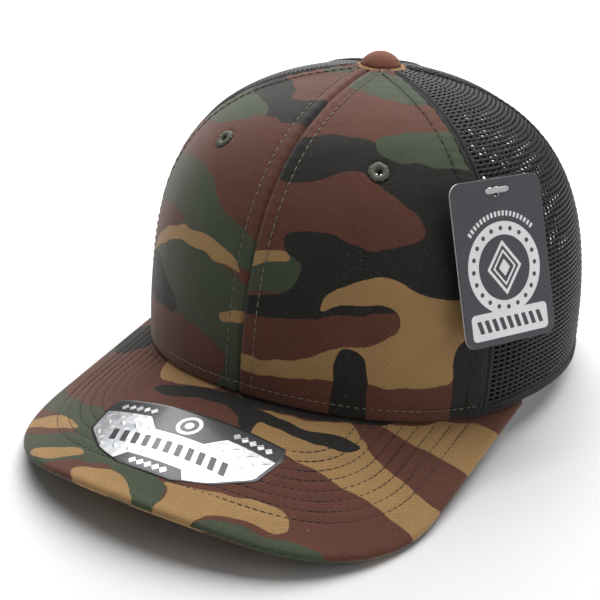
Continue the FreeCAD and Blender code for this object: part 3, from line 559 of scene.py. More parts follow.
@dataclass(frozen=True)
class StitchRow:
    """Sewing thread that shows as one row of separate stitches."""

    pitch: float = 3.0 * MM
    share: float = 0.74
    radius: float = 0.24 * MM
    proud: float = 0.16 * MM
    seed: int = 1

    def sew(self, path: Array, normals: Array) -> tuple[Array, list]:
        """Lay the stitches along a path.

        Args:
            path: Points of the row on the cloth, in the head frame.
            normals: Outward direction at each point.

        Returns:
            Points and faces of all the stitches.
        """
        total = np.linalg.norm(np.diff(path, axis=0), axis=1).sum()
        count = max(int(total / self.pitch), 1)
        draw = np.random.default_rng(self.seed)
        start = (np.arange(count) + 0.13) * total / count
        start = start + draw.uniform(-0.04, 0.04, count) * self.pitch
        share = np.linspace(0, 1, 6)
        at = start[:, None] + share * self.pitch * self.share
        where, way, up = along_path(path, normals, at)
        side = np.cross(way, up)
        drift = draw.uniform(-0.35, 0.35, (count, 1)) * self.radius
        arch = np.sin(share * math.pi)
        dive = 0.9 * self.radius
        height = (self.proud + dive) * arch - dive
        centres = where + up * height[None, :, None] + side * (drift * (2 * share - 1))[..., None]
        radii = np.broadcast_to(self.radius * (0.62 + 0.38 * arch), (count, len(share)))
        return tubes(centres, side, up, radii)


def joined(parts: Sequence[tuple[Array, list]]) -> tuple[Array, list]:
    """Several sets of points and faces as one.

    Args:
        parts: Points and faces of each set.

    Returns:
        All points and all faces.
    """
    points: list[Array] = []
    faces: list[list[int]] = []
    shift = 0
    for some, these in parts:
        faces += [[corner + shift for corner in face] for face in these]
        points.append(some)
        shift += len(some)
    return np.concatenate(points), faces


def sewn(name: str, rows: Sequence[tuple[Array, list]], thread: Material, slot: str) -> None:
    """Build rows of stitches, laid in the head frame, as one piece."""
    points, faces = joined(rows)
    Piece(name, FORM.stand(points), faces, thread, slot).build()


def skin(
    name: str,
    top: Array,
    under: Array,
    quads: Array,
    material: Material,
    slot: str,
    place: Array,
    fields: Fields | None = None,
    **more: object,
) -> Piece:
    """Closed piece between two faces of the same layout.

    Args:
        name: Name of the piece.
        top: Points of its outer face, in the head frame.
        under: Points of its inner face.
        quads: Faces of the outer face.
        material: Its finish.
        slot: Its slot in the record.
        place: Flat place of each point on the cloth, in millimetres.
        fields: Numbers stored at each point of the outer face.
        **more: Other fields of Piece.

    Returns:
        The piece, not yet built.
    """
    points, faces, _ = thicken(top.reshape(-1, 3), under.reshape(-1, 3), quads)
    stored = {key: np.tile(value.ravel(), 2) for key, value in (fields or {}).items()}
    uv = np.tile(place.reshape(-1, 2), (2, 1))
    return Piece(name, FORM.stand(points), faces, material, slot, fields=stored, uv=uv, **more)


def dress_node(node: str, material: Material) -> bpy.types.Object:
    """Give a CAD node its finish.

    Args:
        node: Name of the CAD node.
        material: Its finish.

    Returns:
        The node's object.
    """
    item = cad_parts[node]
    item.data.materials.clear()
    item.data.materials.append(material)
    return item


# ---------------------------------------------------------------- shader tools

Socket = bpy.types.NodeSocket
NodeTree = bpy.types.NodeTree
Value = float | tuple | Socket


def srgb(*parts: int) -> tuple[float, ...]:
    """Linear colour, with its alpha, from the usual 0 to 255 values of red, green and blue."""
    shares = [part / 255 for part in parts]
    return (*(s / 12.92 if s <= 0.04045 else ((s + 0.055) / 1.055) ** 2.4 for s in shares), 1.0)


@dataclass
class Graph:
    """Shorthand for laying out the nodes of one tree."""

    tree: NodeTree

    def put(self, socket: Socket, value: Value) -> None:
        """Set an input, or link another node's output to it.

        Args:
            socket: Input of a node.
            value: A value, or an output of another node.
        """
        if isinstance(value, bpy.types.NodeSocket):
            self.tree.links.new(value, socket)
        else:
            socket.default_value = value

    def add(self, kind: str, settings: dict | None = None, **inputs: Value) -> bpy.types.Node:
        """Add a node.

        Args:
            kind: Type name of the node.
            settings: Properties of the node.
            **inputs: Values or links of its inputs, with _ for a space in a name.

        Returns:
            The node.
        """
        node = self.tree.nodes.new(kind)
        for name, value in (settings or {}).items():
            setattr(node, name, value)
        for name, value in inputs.items():
            self.put(node.inputs[name.replace("_", " ")], value)
        return node

    def result(self, kind: str, settings: dict, *values: Value) -> Socket:
        """First output of a node whose inputs are given in order.

        Args:
            kind: Type name of the node.
            settings: Properties of the node.
            *values: Values or links of its inputs, in order.

        Returns:
            Its first output.
        """
        node = self.add(kind, settings)
        for index, value in enumerate(values):
            self.put(node.inputs[index], value)
        return node.outputs[0]

    def math(self, operation: str, *values: Value) -> Socket:
        """Result of a Math node."""
        return self.result("ShaderNodeMath", {"operation": operation}, *values)

    def times(self, one: Value, other: Value) -> Socket:
        """Product of two values."""
        return self.math("MULTIPLY", one, other)

    def scaled(self, value: Value, factor: Value, shift: Value) -> Socket:
        """Value times a factor, plus a shift."""
        return self.math("MULTIPLY_ADD", value, factor, shift)

    def ramp(self, value: Value, low: float, high: float, start: float = 0.0, end: float = 1.0) -> Socket:
        """Smooth step of a value from one range to another."""
        settings = {"interpolation_type": "SMOOTHSTEP"}
        return self.result("ShaderNodeMapRange", settings, value, low, high, start, end)

    def mix(self, share: Value, one: Value, other: Value, kind: str = "MIX") -> Socket:
        """Mix of two colours.

        Args:
            share: Share of the other colour.
            one: Colour at share 0.
            other: Colour at share 1.
            kind: Way of blending.

        Returns:
            The mixed colour.
        """
        node = self.add("ShaderNodeMix", {"data_type": "RGBA", "blend_type": kind})
        self.put(node.inputs["Factor"], share)
        self.put(node.inputs[6], one)
        self.put(node.inputs[7], other)
        return node.outputs[2]

    def noise(self, vector: Value, scale: float, detail: float = 2.0, rough: float = 0.5) -> Socket:
        """Value of a noise texture."""
        node = self.add("ShaderNodeTexNoise", Vector=vector, Scale=scale, Detail=detail, Roughness=rough)
        return node.outputs[0]

    def attribute(self, name: str) -> Socket:
        """Number stored on the mesh."""
        return self.add("ShaderNodeAttribute", {"attribute_name": name}).outputs["Fac"]

    def cloth_place(self) -> Socket:
        """Place on the cloth in millimetres."""
        return self.add("ShaderNodeUVMap", {"uv_map": "Cloth"}).outputs[0]

    def object_place(self) -> Socket:
        """Place on the piece in metres."""
        return self.add("ShaderNodeTexCoord").outputs["Object"]

    def effect(self, effect: "Effect", **inputs: Value) -> bpy.types.Node:
        """Place a shared effect with its own values."""
        return self.add("ShaderNodeGroup", {"node_tree": effect.group()}, **inputs)

    def shaded(self, colour: Value, shade: Socket) -> Socket:
        """Colour multiplied by a shade."""
        grey = self.add("ShaderNodeCombineXYZ", X=shade, Y=shade, Z=shade).outputs[0]
        return self.mix(1.0, colour, grey, "MULTIPLY")


class Kind(Enum):
    """Kinds of socket of a shared effect."""

    NUMBER = "NodeSocketFloat"
    VECTOR = "NodeSocketVector"
    COLOUR = "NodeSocketColor"


Given = dict[str, Socket]


@dataclass
class Effect:
    """Shader node group that more than one finish uses, built at its first use."""

    name: str
    takes: dict[str, Kind]
    gives: dict[str, Kind]
    fill: Callable[[Graph, Given], Given]
    tree: NodeTree | None = None

    def group(self) -> NodeTree:
        """Node group of the effect.

        Returns:
            The same group every time.
        """
        if self.tree is None:
            self.tree = bpy.data.node_groups.new(self.name, "ShaderNodeTree")
            for way, labels in (("INPUT", self.takes), ("OUTPUT", self.gives)):
                for label, kind in labels.items():
                    self.tree.interface.new_socket(name=label, in_out=way, socket_type=kind.value)
            graph = Graph(self.tree)
            entry = graph.add("NodeGroupInput")
            results = self.fill(graph, {label: entry.outputs[label] for label in self.takes})
            graph.add("NodeGroupOutput", **{label.replace(" ", "_"): part for label, part in results.items()})
        return self.tree


def twill_ribs(graph: Graph, given: Given) -> Given:
    """Diagonal ribs of twill cloth: a height, and a painted shade that darkens the grooves.

    Args:
        graph: Graph of the group.
        given: Socket of each input.

    Returns:
        Socket of each output.
    """
    place = graph.add("ShaderNodeSeparateXYZ", Vector=given["Place"])
    wobble = graph.times(graph.noise(given["Place"], 0.35), 0.9)
    across = graph.math("ADD", place.outputs[0], place.outputs[1])
    across = graph.math("ADD", across, wobble)
    pace = graph.math("DIVIDE", math.tau, given["Pitch"])
    rib = graph.math("SINE", graph.times(across, pace))
    along = graph.math("SUBTRACT", place.outputs[0], place.outputs[1])
    pick = graph.math("SINE", graph.times(along, graph.times(pace, 0.5)))
    height = graph.scaled(pick, 0.22, rib)
    height = graph.scaled(graph.noise(given["Place"], 2.2, 3.0, 0.7), 0.9, height)
    # Painted shade: the cloth is darker where the ribs are low.
    depth = graph.scaled(height, 0.25, 0.5)
    least = graph.math("SUBTRACT", 1.0, given["Contrast"])
    return {"Height": depth, "Shade": graph.scaled(depth, given["Contrast"], least)}


def camouflage(graph: Graph, given: Given) -> Given:
    """Print of three dyes on a ground, the edges of each bleeding a little.

    Args:
        graph: Graph of the group.
        given: Socket of each input.

    Returns:
        Socket of each output.
    """
    fine = graph.math("SUBTRACT", graph.noise(given["Place"], 0.9, 3.0, 0.65), 0.5)
    broad = graph.math("SUBTRACT", graph.noise(given["Place"], 0.16, 2.0), 0.5)
    bleed = graph.scaled(fine, 0.35, graph.times(broad, 0.7))
    colour = given["Ground"]
    for dye in ("Green", "Tan", "Black"):
        reach = graph.math("ADD", given[dye + " Reach"], bleed)
        colour = graph.mix(graph.ramp(reach, -0.16, 0.16), colour, given[dye])
    return {"Colour": colour}


def lint_specks(graph: Graph, given: Given) -> Given:
    """Uneven dye, and pale specks of lint that lie on cloth.

    Args:
        graph: Graph of the group.
        given: Socket of each input.

    Returns:
        Socket of each output.
    """
    cloud = graph.noise(given["Place"], 0.06, 4.0, 0.6)
    grain = graph.noise(given["Place"], 1.7, 2.0, 0.8)
    uneven = graph.scaled(cloud, 0.34, graph.times(grain, 0.7))
    settings = {"feature": "DISTANCE_TO_EDGE"}
    speck = graph.add("ShaderNodeTexVoronoi", settings, Vector=given["Place"], Scale=0.45)
    thin = graph.ramp(speck.outputs[0], 0.0, 0.012, 1.0, 0.0)
    patch = graph.ramp(graph.noise(given["Place"], 0.55, 1.0), 0.68, 0.72)
    fleck = graph.ramp(graph.noise(given["Place"], 1.5, 1.0), 0.66, 0.78, 0.0, 0.4)
    strands = graph.math("MAXIMUM", graph.times(thin, patch), fleck)
    return {"Shade": graph.math("ADD", uneven, 0.48), "Mask": graph.times(strands, given["Amount"])}


def tape_ribs(graph: Graph, given: Given) -> Given:
    """Fine crosswise ribs of a narrow woven tape, with its warp threads between them; painted shade darkens
    the low parts of the weave.

    Args:
        graph: Graph of the group.
        given: Socket of each input.

    Returns:
        Socket of each output.
    """
    place = graph.add("ShaderNodeSeparateXYZ", Vector=given["Place"])
    pace = graph.math("DIVIDE", math.tau, given["Pitch"])
    weft = graph.math("SINE", graph.times(place.outputs[1], pace))
    warp = graph.math("SINE", graph.times(place.outputs[0], pace))
    height = graph.scaled(graph.noise(given["Place"], 1.4, 3.0), 0.8, graph.times(weft, warp))
    # Shade is painted shade, darker where the weave is low.
    return {"Height": height, "Shade": graph.scaled(height, 0.16, 0.84)}


def mould_grain(graph: Graph, given: Given) -> Given:
    """Moulding texture and light handling marks: a height, a roughness and a shade.

    Args:
        graph: Graph of the group.
        given: Socket of each input.

    Returns:
        Socket of each output.
    """
    fine = graph.noise(given["Place"], 4200.0, 3.0, 0.6)
    broad = graph.noise(given["Place"], 90.0, 3.0, 0.6)
    streak = graph.add("ShaderNodeMapping", Vector=given["Place"], Scale=(60.0, 60.0, 900.0))
    rub = graph.ramp(graph.noise(streak.outputs[0], 1.0, 3.0), 0.62, 0.8)
    rough = graph.scaled(broad, 0.25, given["Roughness"])
    rough = graph.math("SUBTRACT", rough, graph.times(rub, 0.12))
    return {"Height": fine, "Rough": rough, "Shade": graph.scaled(broad, 0.3, 0.85)}


PLACE = {"Place": Kind.VECTOR}
HEIGHT_AND_SHADE = {"Height": Kind.NUMBER, "Shade": Kind.NUMBER}
DYES = {"Ground": Kind.COLOUR}
for label in ("Green", "Tan", "Black"):
    DYES |= {label: Kind.COLOUR, label + " Reach": Kind.NUMBER}
TWILL = Effect(
    "TwillRibs", PLACE | {"Pitch": Kind.NUMBER, "Contrast": Kind.NUMBER}, HEIGHT_AND_SHADE, twill_ribs
)
PRINT = Effect("CamouflagePrint", PLACE | DYES, {"Colour": Kind.COLOUR}, camouflage)
LINT = Effect(
    "Lint", PLACE | {"Amount": Kind.NUMBER}, {"Shade": Kind.NUMBER, "Mask": Kind.NUMBER}, lint_specks
)
RIBBING = Effect("TapeRibs", PLACE | {"Pitch": Kind.NUMBER}, HEIGHT_AND_SHADE, tape_ribs)
GRAIN = Effect(
    "MouldGrain",
    PLACE | {"Roughness": Kind.NUMBER},
    {label: Kind.NUMBER for label in ("Height", "Rough", "Shade")},
    mould_grain,
)


class Finish:
    """A material under way: its nodes and its Principled shader."""

    def __init__(self, name: str) -> None:
        """Start an empty material.

        Args:
            name: Name of the finish.
        """
        self.material = bpy.data.materials.new(name)
        self.material.use_nodes = True
        self.graph = Graph(self.material.node_tree)
        self.shader = self.material.node_tree.nodes["Principled BSDF"]

    def dress(
        self, colour: Socket, rough: Socket, height: Socket, **even: float | tuple
    ) -> Material:
        """Feed the shader.

        Args:
            colour: Base colour.
            rough: Roughness.
            height: Height of the surface's relief.
            **even: strength and depth (in metres) of the relief, then values of the shader's own inputs
                that are the same all over, with _ for a space in a name.

        Returns:
            The material.
        """
        strength, depth = even.pop("strength"), even.pop("depth")
        relief = self.graph.add("ShaderNodeBump", Strength=strength, Distance=depth, Height=height)
        self.graph.put(self.shader.inputs["Base Color"], colour)
        self.graph.put(self.shader.inputs["Roughness"], rough)
        self.graph.put(self.shader.inputs["Normal"], relief.outputs[0])
        for name, value in even.items():
            self.shader.inputs[name.replace("_", " ")].default_value = value
        return self.material


# ---------------------------------------------------------------- finishes


@dataclass(frozen=True)
class CamoTwill:
    """Printed cotton twill in brown, green, tan and black."""

    name: str = "camo_twill"
    brown: tuple = srgb(97, 60, 48)
    green: tuple = srgb(70, 78, 60)
    tan: tuple = srgb(166, 131, 86)
    black: tuple = srgb(39, 38, 35)
    pitch: float = 0.95
    contrast: float = 0.62
    sheen: float = 0.24

    def make(self) -> Material:
        """Build the material.

        Returns:
            The material.
        """
        finish = Finish(self.name)
        graph = finish.graph
        place = graph.cloth_place()
        printed = graph.effect(PRINT, Place=place, Ground=self.brown)
        for dye, colour in ((Dye.GREEN, self.green), (Dye.TAN, self.tan), (Dye.BLACK, self.black)):
            graph.put(printed.inputs[dye.value], colour)
            graph.put(printed.inputs[dye.value + " Reach"], graph.attribute(dye.value))
        return finish_cloth(finish, printed.outputs[0], self.pitch, self.contrast, self.sheen)


@dataclass(frozen=True)
class PlainTwill:
    """Cotton twill of one dye."""

    name: str
    colour: tuple
    pitch: float = 0.85
    contrast: float = 0.34
    sheen: float = 0.2

    def make(self) -> Material:
        """Build the material.

        Returns:
            The material.
        """
        finish = Finish(self.name)
        faded = (*(part * 0.78 for part in self.colour[:3]), 1.0)
        dyed = finish.graph.mix(finish.graph.noise(finish.graph.cloth_place(), 0.3), faded, self.colour)
        return finish_cloth(finish, dyed, self.pitch, self.contrast, self.sheen)


def finish_cloth(
    finish: Finish, colour: Socket, pitch: float, contrast: float, sheen: float
) -> Material:
    """Add twill ribs with painted shade in their grooves, uneven dye, lint and sheen to a cloth colour.

    Args:
        finish: The material under way.
        colour: Colour of the dyed or printed cloth.
        pitch: Distance between two ribs in millimetres.
        contrast: How dark the painted shade in the grooves is, from 0 to 1.
        sheen: Weight of the sheen.

    Returns:
        The material.
    """
    graph = finish.graph
    place = graph.cloth_place()
    ribs = graph.effect(TWILL, Place=place, Pitch=pitch, Contrast=contrast)
    lint = graph.effect(LINT, Place=place, Amount=0.7)
    # The ribs' shade is painted shade in the grooves; the lint's shade is uneven dye.
    shade = graph.times(ribs.outputs["Shade"], lint.outputs["Shade"])
    colour = graph.shaded(colour, graph.times(shade, 1.36))
    colour = graph.mix(lint.outputs["Mask"], colour, srgb(176, 168, 152))
    height = ribs.outputs["Height"]
    return finish.dress(
        colour, graph.scaled(height, -0.12, 0.9), height, strength=0.55, depth=0.2 * MM,
        Specular_IOR_Level=0.25, Sheen_Weight=sheen, Sheen_Roughness=0.4, Sheen_Tint=(1.0, 0.97, 0.93, 1.0),
    )


@dataclass(frozen=True)
class NetYarn:
    """Black polyester net, its crosswise yarns painted lighter as a painted highlight."""

    name: str = "net_yarn"
    rib: tuple = srgb(7, 7, 8)
    # Colour of the painted highlight on the crosswise yarns of the black net.
    dash: tuple = srgb(78, 78, 82)

    def make(self) -> Material:
        """Build the material.

        Returns:
            The material.
        """
        finish = Finish(self.name)
        graph = finish.graph
        place = graph.cloth_place()
        # Painted highlight on the crosswise yarns, patchy over the net.
        shine = graph.ramp(graph.attribute("dash"), 0.45, 0.95)
        patchy = graph.ramp(graph.noise(place, 0.5, 2.0), 0.3, 0.7, 0.25, 1.0)
        colour = graph.mix(graph.times(shine, patchy), self.rib, self.dash)
        settings = {"bands_direction": "DIAGONAL"}
        strand = graph.add("ShaderNodeTexWave", settings, Vector=place, Scale=1.1, Distortion=2.0)
        height = strand.outputs["Fac"]
        rough = graph.scaled(height, 0.2, 0.3)
        return finish.dress(colour, rough, height, strength=0.5, depth=0.15 * MM, Specular_IOR_Level=0.3)


@dataclass(frozen=True)
class WovenTape:
    """Narrow woven tape, band or gauze with crosswise ribs."""

    name: str
    colour: tuple
    pitch: float = 0.7
    roughness: float = 0.85
    sheen: float = 0.12

    def make(self) -> Material:
        """Build the material.

        Returns:
            The material.
        """
        finish = Finish(self.name)
        graph = finish.graph
        place = graph.cloth_place()
        ribs = graph.effect(RIBBING, Place=place, Pitch=self.pitch)
        lint = graph.effect(LINT, Place=place, Amount=0.35)
        # The ribs' shade is painted shade in the low parts of the weave; the lint's shade is uneven dye.
        shade = graph.times(ribs.outputs["Shade"], lint.outputs["Shade"])
        colour = graph.mix(lint.outputs["Mask"], graph.shaded(self.colour, shade), srgb(170, 166, 160))
        rough = graph.scaled(lint.outputs["Shade"], 0.1, self.roughness - 0.1)
        return finish.dress(
            colour, rough, ribs.outputs["Height"], strength=0.6, depth=0.2 * MM,
            Sheen_Weight=self.sheen, Specular_IOR_Level=0.3,
        )


@dataclass(frozen=True)
class Thread:
    """Twisted sewing thread."""

    name: str
    colour: tuple
    roughness: float = 0.6

    def make(self) -> Material:
        """Build the material.

        Returns:
            The material.
        """
        finish = Finish(self.name)
        graph = finish.graph
        place = graph.object_place()
        fibre = graph.noise(place, 5200.0, 2.0, 0.7)
        uneven = graph.noise(place, 220.0, 2.0)
        shade = graph.scaled(fibre, 0.6, graph.scaled(uneven, 0.3, 0.55))
        rough = graph.scaled(uneven, 0.2, self.roughness - 0.1)
        colour = graph.shaded(self.colour, shade)
        return finish.dress(colour, rough, fibre, strength=0.5, depth=0.1 * MM, Sheen_Weight=0.15)


@dataclass(frozen=True)
class Moulded:
    """Moulded plastic or stamped metal."""

    name: str
    colour: tuple
    roughness: float = 0.4
    metallic: float = 0.0
    clear: float = 0.0

    def make(self) -> Material:
        """Build the material.

        Returns:
            The material.
        """
        finish = Finish(self.name)
        graph = finish.graph
        marks = graph.effect(GRAIN, Place=graph.object_place(), Roughness=self.roughness - 0.1)
        colour = graph.shaded(self.colour, marks.outputs["Shade"])
        return finish.dress(
            colour, marks.outputs["Rough"], marks.outputs["Height"], strength=0.35, depth=0.05 * MM,
            Metallic=self.metallic, Transmission_Weight=self.clear, IOR=1.5,
        )


@dataclass(frozen=True)
class Foil:
    """Printed metal foil: dark bands and a dark border over a silver tread plate."""

    name: str = "sticker_foil"
    silver: tuple = srgb(222, 224, 226)
    worn: tuple = srgb(178, 180, 184)
    ink: tuple = srgb(46, 46, 50)

    def make(self) -> Material:
        """Build the material.

        Returns:
            The material.
        """
        finish = Finish(self.name)
        graph = finish.graph
        place = graph.cloth_place()
        inked = graph.ramp(graph.attribute("ink"), -0.12, 0.12)
        tread = graph.ramp(graph.attribute("tread"), 0.0, 1.0)
        cloud = graph.ramp(graph.noise(place, 0.12, 4.0, 0.6), 0.35, 0.7)
        silver = graph.mix(cloud, self.silver, self.worn)
        # Raised lozenges of the tread painted paler: a painted highlight.
        silver = graph.mix(graph.times(tread, 0.35), silver, srgb(250, 250, 250))
        brushed = graph.add("ShaderNodeMapping", Vector=place, Scale=(0.4, 9.0, 1.0))
        scratch = graph.noise(brushed.outputs[0], 1.0, 3.0, 0.7)
        ink = graph.mix(graph.ramp(scratch, 0.55, 0.8), self.ink, srgb(92, 92, 97))
        graph.put(finish.shader.inputs["Metallic"], graph.scaled(inked, -0.55, 0.75))
        rough = graph.scaled(scratch, 0.22, 0.2)
        return finish.dress(
            graph.mix(inked, silver, ink), rough, scratch, strength=0.2, depth=0.1 * MM,
            Coat_Weight=0.35, Coat_Roughness=0.12,
        )


@dataclass(frozen=True)
class Card:
    """Uncoated printed card, dark with pale ink."""

    name: str
    ground: tuple = srgb(80, 78, 84)
    ink: tuple = srgb(250, 249, 252)

    def make(self) -> Material:
        """Build the material.

        Returns:
            The material.
        """
        finish = Finish(self.name)
        graph = finish.graph
        place = graph.cloth_place()
        fibre = graph.noise(place, 1.6, 5.0, 0.75)
        patch = graph.noise(place, 0.09, 3.0)
        inked = graph.ramp(graph.attribute("ink"), -0.09, 0.09)
        shade = graph.scaled(fibre, 0.22, graph.scaled(patch, 0.14, 0.82))
        colour = graph.shaded(graph.mix(inked, self.ground, self.ink), shade)
        rough = graph.scaled(fibre, 0.2, 0.5)
        return finish.dress(colour, rough, fibre, strength=0.25, depth=0.08 * MM)


# ---------------------------------------------------------------- camouflage print


class Dye(Enum):
    """Dyes of the print; brown is the ground that the others leave bare."""

    GREEN = "Green"
    TAN = "Tan"
    BLACK = "Black"
    BROWN = "Brown"


@dataclass(frozen=True)
class Blotch:
    """One printed shape: a closed outline, in millimetres, with its corners rounded off."""

    dye: Dye
    outline: tuple[tuple[float, float], ...]
    rounding: int = 3

    def smooth(self) -> Array:
        """Outline with every corner cut off several times, so that it runs in soft curves.

        Returns:
            Points of the closed line.
        """
        line = np.array(self.outline, float)
        for _ in range(self.rounding):
            following = np.roll(line, -1, axis=0)
            cuts = [line * 0.75 + following * 0.25, line * 0.25 + following * 0.75]
            line = np.stack(cuts, 1).reshape(-1, 2)
        return line

    def reach(self, x: Array, y: Array) -> Array:
        """Distance inside the shape's edge, negative outside.

        Args:
            x: Place across the cloth, in millimetres.
            y: Place along the cloth, in millimetres.

        Returns:
            One distance for each place, in millimetres.
        """
        line = self.smooth()
        low, high = line.min(axis=0) - 9, line.max(axis=0) + 9
        near = (x > low[0]) & (x < high[0]) & (y > low[1]) & (y < high[1])
        result = np.full(x.shape, -9.0)
        px, py = x[near], y[near]
        away = np.full(px.shape, 99.0)
        inside = np.zeros(px.shape, bool)
        for (ax, ay), (bx, by) in zip(line, np.roll(line, -1, axis=0), strict=True):
            span = (bx - ax) ** 2 + (by - ay) ** 2 + 1e-12
            share = np.clip(((px - ax) * (bx - ax) + (py - ay) * (by - ay)) / span, 0, 1)
            away = np.minimum(away, np.hypot(px - ax - share * (bx - ax), py - ay - share * (by - ay)))
            if ay != by:
                inside ^= ((ay > py) != (by > py)) & (px < ax + (py - ay) * (bx - ax) / (by - ay))
        result[near] = np.where(inside, away, -away)
        return result


@dataclass(frozen=True)
class CamoPrint:
    """A stretch of printed cloth, its shapes laid one over the other."""

    blotches: tuple[Blotch, ...]
    overlap: float = 0.3

    def fields(self, x: Array, y: Array) -> Fields:
        """Reach of each dye at each place.

        Args:
            x: Place across the cloth, in millimetres.
            y: Place along the cloth, in millimetres.

        Returns:
            The reach under each dye's name.
        """
        wander_x = x + 0.7 * waves(x, y, 17.0, 31) + 0.2 * waves(x, y, 6.0, 33)
        wander_y = y + 0.6 * waves(x, y, 17.0, 32) + 0.2 * waves(x, y, 6.0, 34)
        result = {dye: np.full(x.shape, -9.0) for dye in (Dye.GREEN, Dye.TAN, Dye.BLACK)}
        for blotch in self.blotches:
            reach = blotch.reach(wander_x, wander_y)
            for dye, laid in result.items():
                own = dye is blotch.dye
                result[dye] = np.maximum(laid, reach) if own else np.minimum(laid, self.overlap - reach)
        return {dye.value: laid for dye, laid in result.items()}


def print_of(**layers: Sequence) -> CamoPrint:
    """Print from outlines in the order that they are laid, under names that start with their dye."""
    dyes = {name: Dye[name.split("_")[0].upper()] for name in layers}
    return CamoPrint(tuple(Blotch(dyes[name], tuple(outline)) for name, outline in layers.items()))


# Across is the angle from the visor's middle and along is the rise, in millimetres as FrontPanels.panel gives
# them.
LEFT_PRINT = print_of(
    green_top=[
        (-6, 131), (10, 127.5), (30, 126), (50, 123), (70, 120.5), (104, 119.5), (104, 137), (80, 139),
        (60, 142.5), (35, 142.5), (15, 140), (3, 137.5), (-6, 137),
    ],
    black_field=[
        (-8, 92), (6, 96), (14, 99.5), (28, 100.5), (40, 99.5), (50, 95), (60, 91), (80, 89), (105, 88),
        (105, 36), (84, 36), (60, 34), (30, 30), (26, 27), (10, 25), (-8, 25), (-8, 31), (8, 32),
        (18, 38), (20, 44), (15, 47), (10, 52), (14, 57), (10, 60), (-8, 76),
    ],
    green_back=[
        (42, 99), (48, 102), (60, 104.5), (80, 105), (104, 105), (104, 84), (80, 87), (66, 90), (55, 89),
        (46, 92),
    ],
    green_low=[(-8, 46), (4, 46), (14, 49), (20, 46), (20, 40), (14, 35), (2, 33), (-8, 33)],
    tan_dash=[(-6, 41), (2, 42), (9, 44.5), (15, 46), (14.5, 48.8), (6, 48), (-6, 46)],
    tan_hook=[
        (27.5, 30.5), (29, 35), (34, 40), (42, 44), (52, 45), (60, 42.5), (67, 38.5), (80, 38), (96, 38),
        (96, 27), (84, 25), (78, 20), (80, 10), (68, 10), (48, 10.5), (34, 10.5), (20, 8.5), (8, 7.5),
        (-6, 7), (-6, 11.5), (6, 12.5), (18, 13.5), (26, 16), (33, 20), (42, 21.5), (50, 22.5), (56, 26),
        (58, 31), (54, 34.5), (46, 35.5), (38, 34.5), (32, 31.5),
    ],
    brown_finger=[
        (-8, 24), (6, 25.5), (16, 27), (24, 28.5), (34, 29), (42, 31.5), (48, 33.5), (54, 32.5),
        (57.5, 28.5), (55, 24.5), (48, 22.5), (38, 22), (30, 21), (24, 17.5), (16, 14), (6, 13), (-8, 12),
    ],
    brown_middle=[
        (-8, 76), (8, 75.5), (18, 77.5), (28, 83), (38, 85), (48, 80), (56, 73), (66, 67), (67, 60),
        (60, 56.5), (52, 55.5), (45, 52.5), (38, 55), (28, 58), (18, 58), (10, 54), (-8, 53),
    ],
    black_knob=[
        (34, -6), (34.5, 8), (34, 15), (36, 19.5), (40, 21), (45, 19), (46.5, 13), (46, 6), (48, -6),
    ],
    black_back=[(78.5, -6), (80, 8), (78.5, 16), (79.5, 22), (84, 25.5), (92, 24), (105, 24), (105, -6)],
)
RIGHT_PRINT = print_of(
    green_top=[(-85, 137), (-70, 140), (-50, 142), (-32, 140), (-40, 136.5), (-60, 134), (-85, 132)],
    black_top=[
        (-100, 120), (-85, 121), (-70, 122), (-55, 121), (-42, 119), (-36, 115), (-25, 114), (-10, 117),
        (6, 117), (6, 102), (-10, 101.5), (-22, 101), (-34, 102), (-40, 106), (-52, 108), (-70, 107),
        (-100, 106),
    ],
    green_side=[
        (-100, 107), (-85, 108), (-65, 108.5), (-50, 108), (-38, 105.5), (-34, 102.5), (-42, 99.5),
        (-50, 95), (-60, 91), (-75, 87), (-100, 86),
    ],
    green_field=[
        (-100, 64), (-85, 66.5), (-70, 70), (-55, 72), (-42, 71.5), (-32, 67.5), (-24, 61), (-14, 55),
        (8, 50), (8, -8), (-14, -8), (-14, 14), (-30, 18), (-50, 16), (-72, 12), (-100, 14),
    ],
    brown_patch=[
        (-104, 45), (-85, 46), (-70, 49), (-58, 51.5), (-45, 51), (-38, 48.5), (-50, 44), (-60, 38.5),
        (-70, 32), (-80, 30), (-104, 28),
    ],
    brown_band=[
        (-50, 41), (-40, 41.5), (-28, 42), (-14, 38.5), (-4, 35), (6, 32.5), (6, 39), (-2, 40), (-14, 43),
        (-30, 44), (-45, 43),
    ],
    tan_band=[
        (-74, 29), (-66, 31), (-56, 36.5), (-48, 39.5), (-38, 41.5), (-26, 42), (-16, 39.5), (-3, 37),
        (-7, 41.5), (-15, 46), (-26, 47.5), (-38, 47), (-50, 44.5), (-60, 40), (-70, 34),
    ],
    black_low=[
        (-76, 28), (-64, 31), (-54, 30.5), (-46, 26), (-38, 22), (-33, 18.5), (-40, 16), (-55, 15),
        (-76, 16),
    ],
    brown_low=[
        (-104, 14), (-76, 16), (-55, 15.5), (-40, 16.5), (-25, 15.5), (-10, 13.5), (-5, 9), (-8, 3),
        (-16, -8), (-104, -8),
    ],
    green_corner=[(-100, 10), (-86, 10), (-76, 6), (-80, 0), (-100, -2)],
    tan_spot=[(-11, 23.5), (-6, 25.5), (6, 25.5), (6, 22), (-6, 21), (-10, 21.8)],
    tan_side=[(-110, 24), (-96, 25.5), (-84, 26), (-78, 23), (-88, 20), (-110, 18)],
)

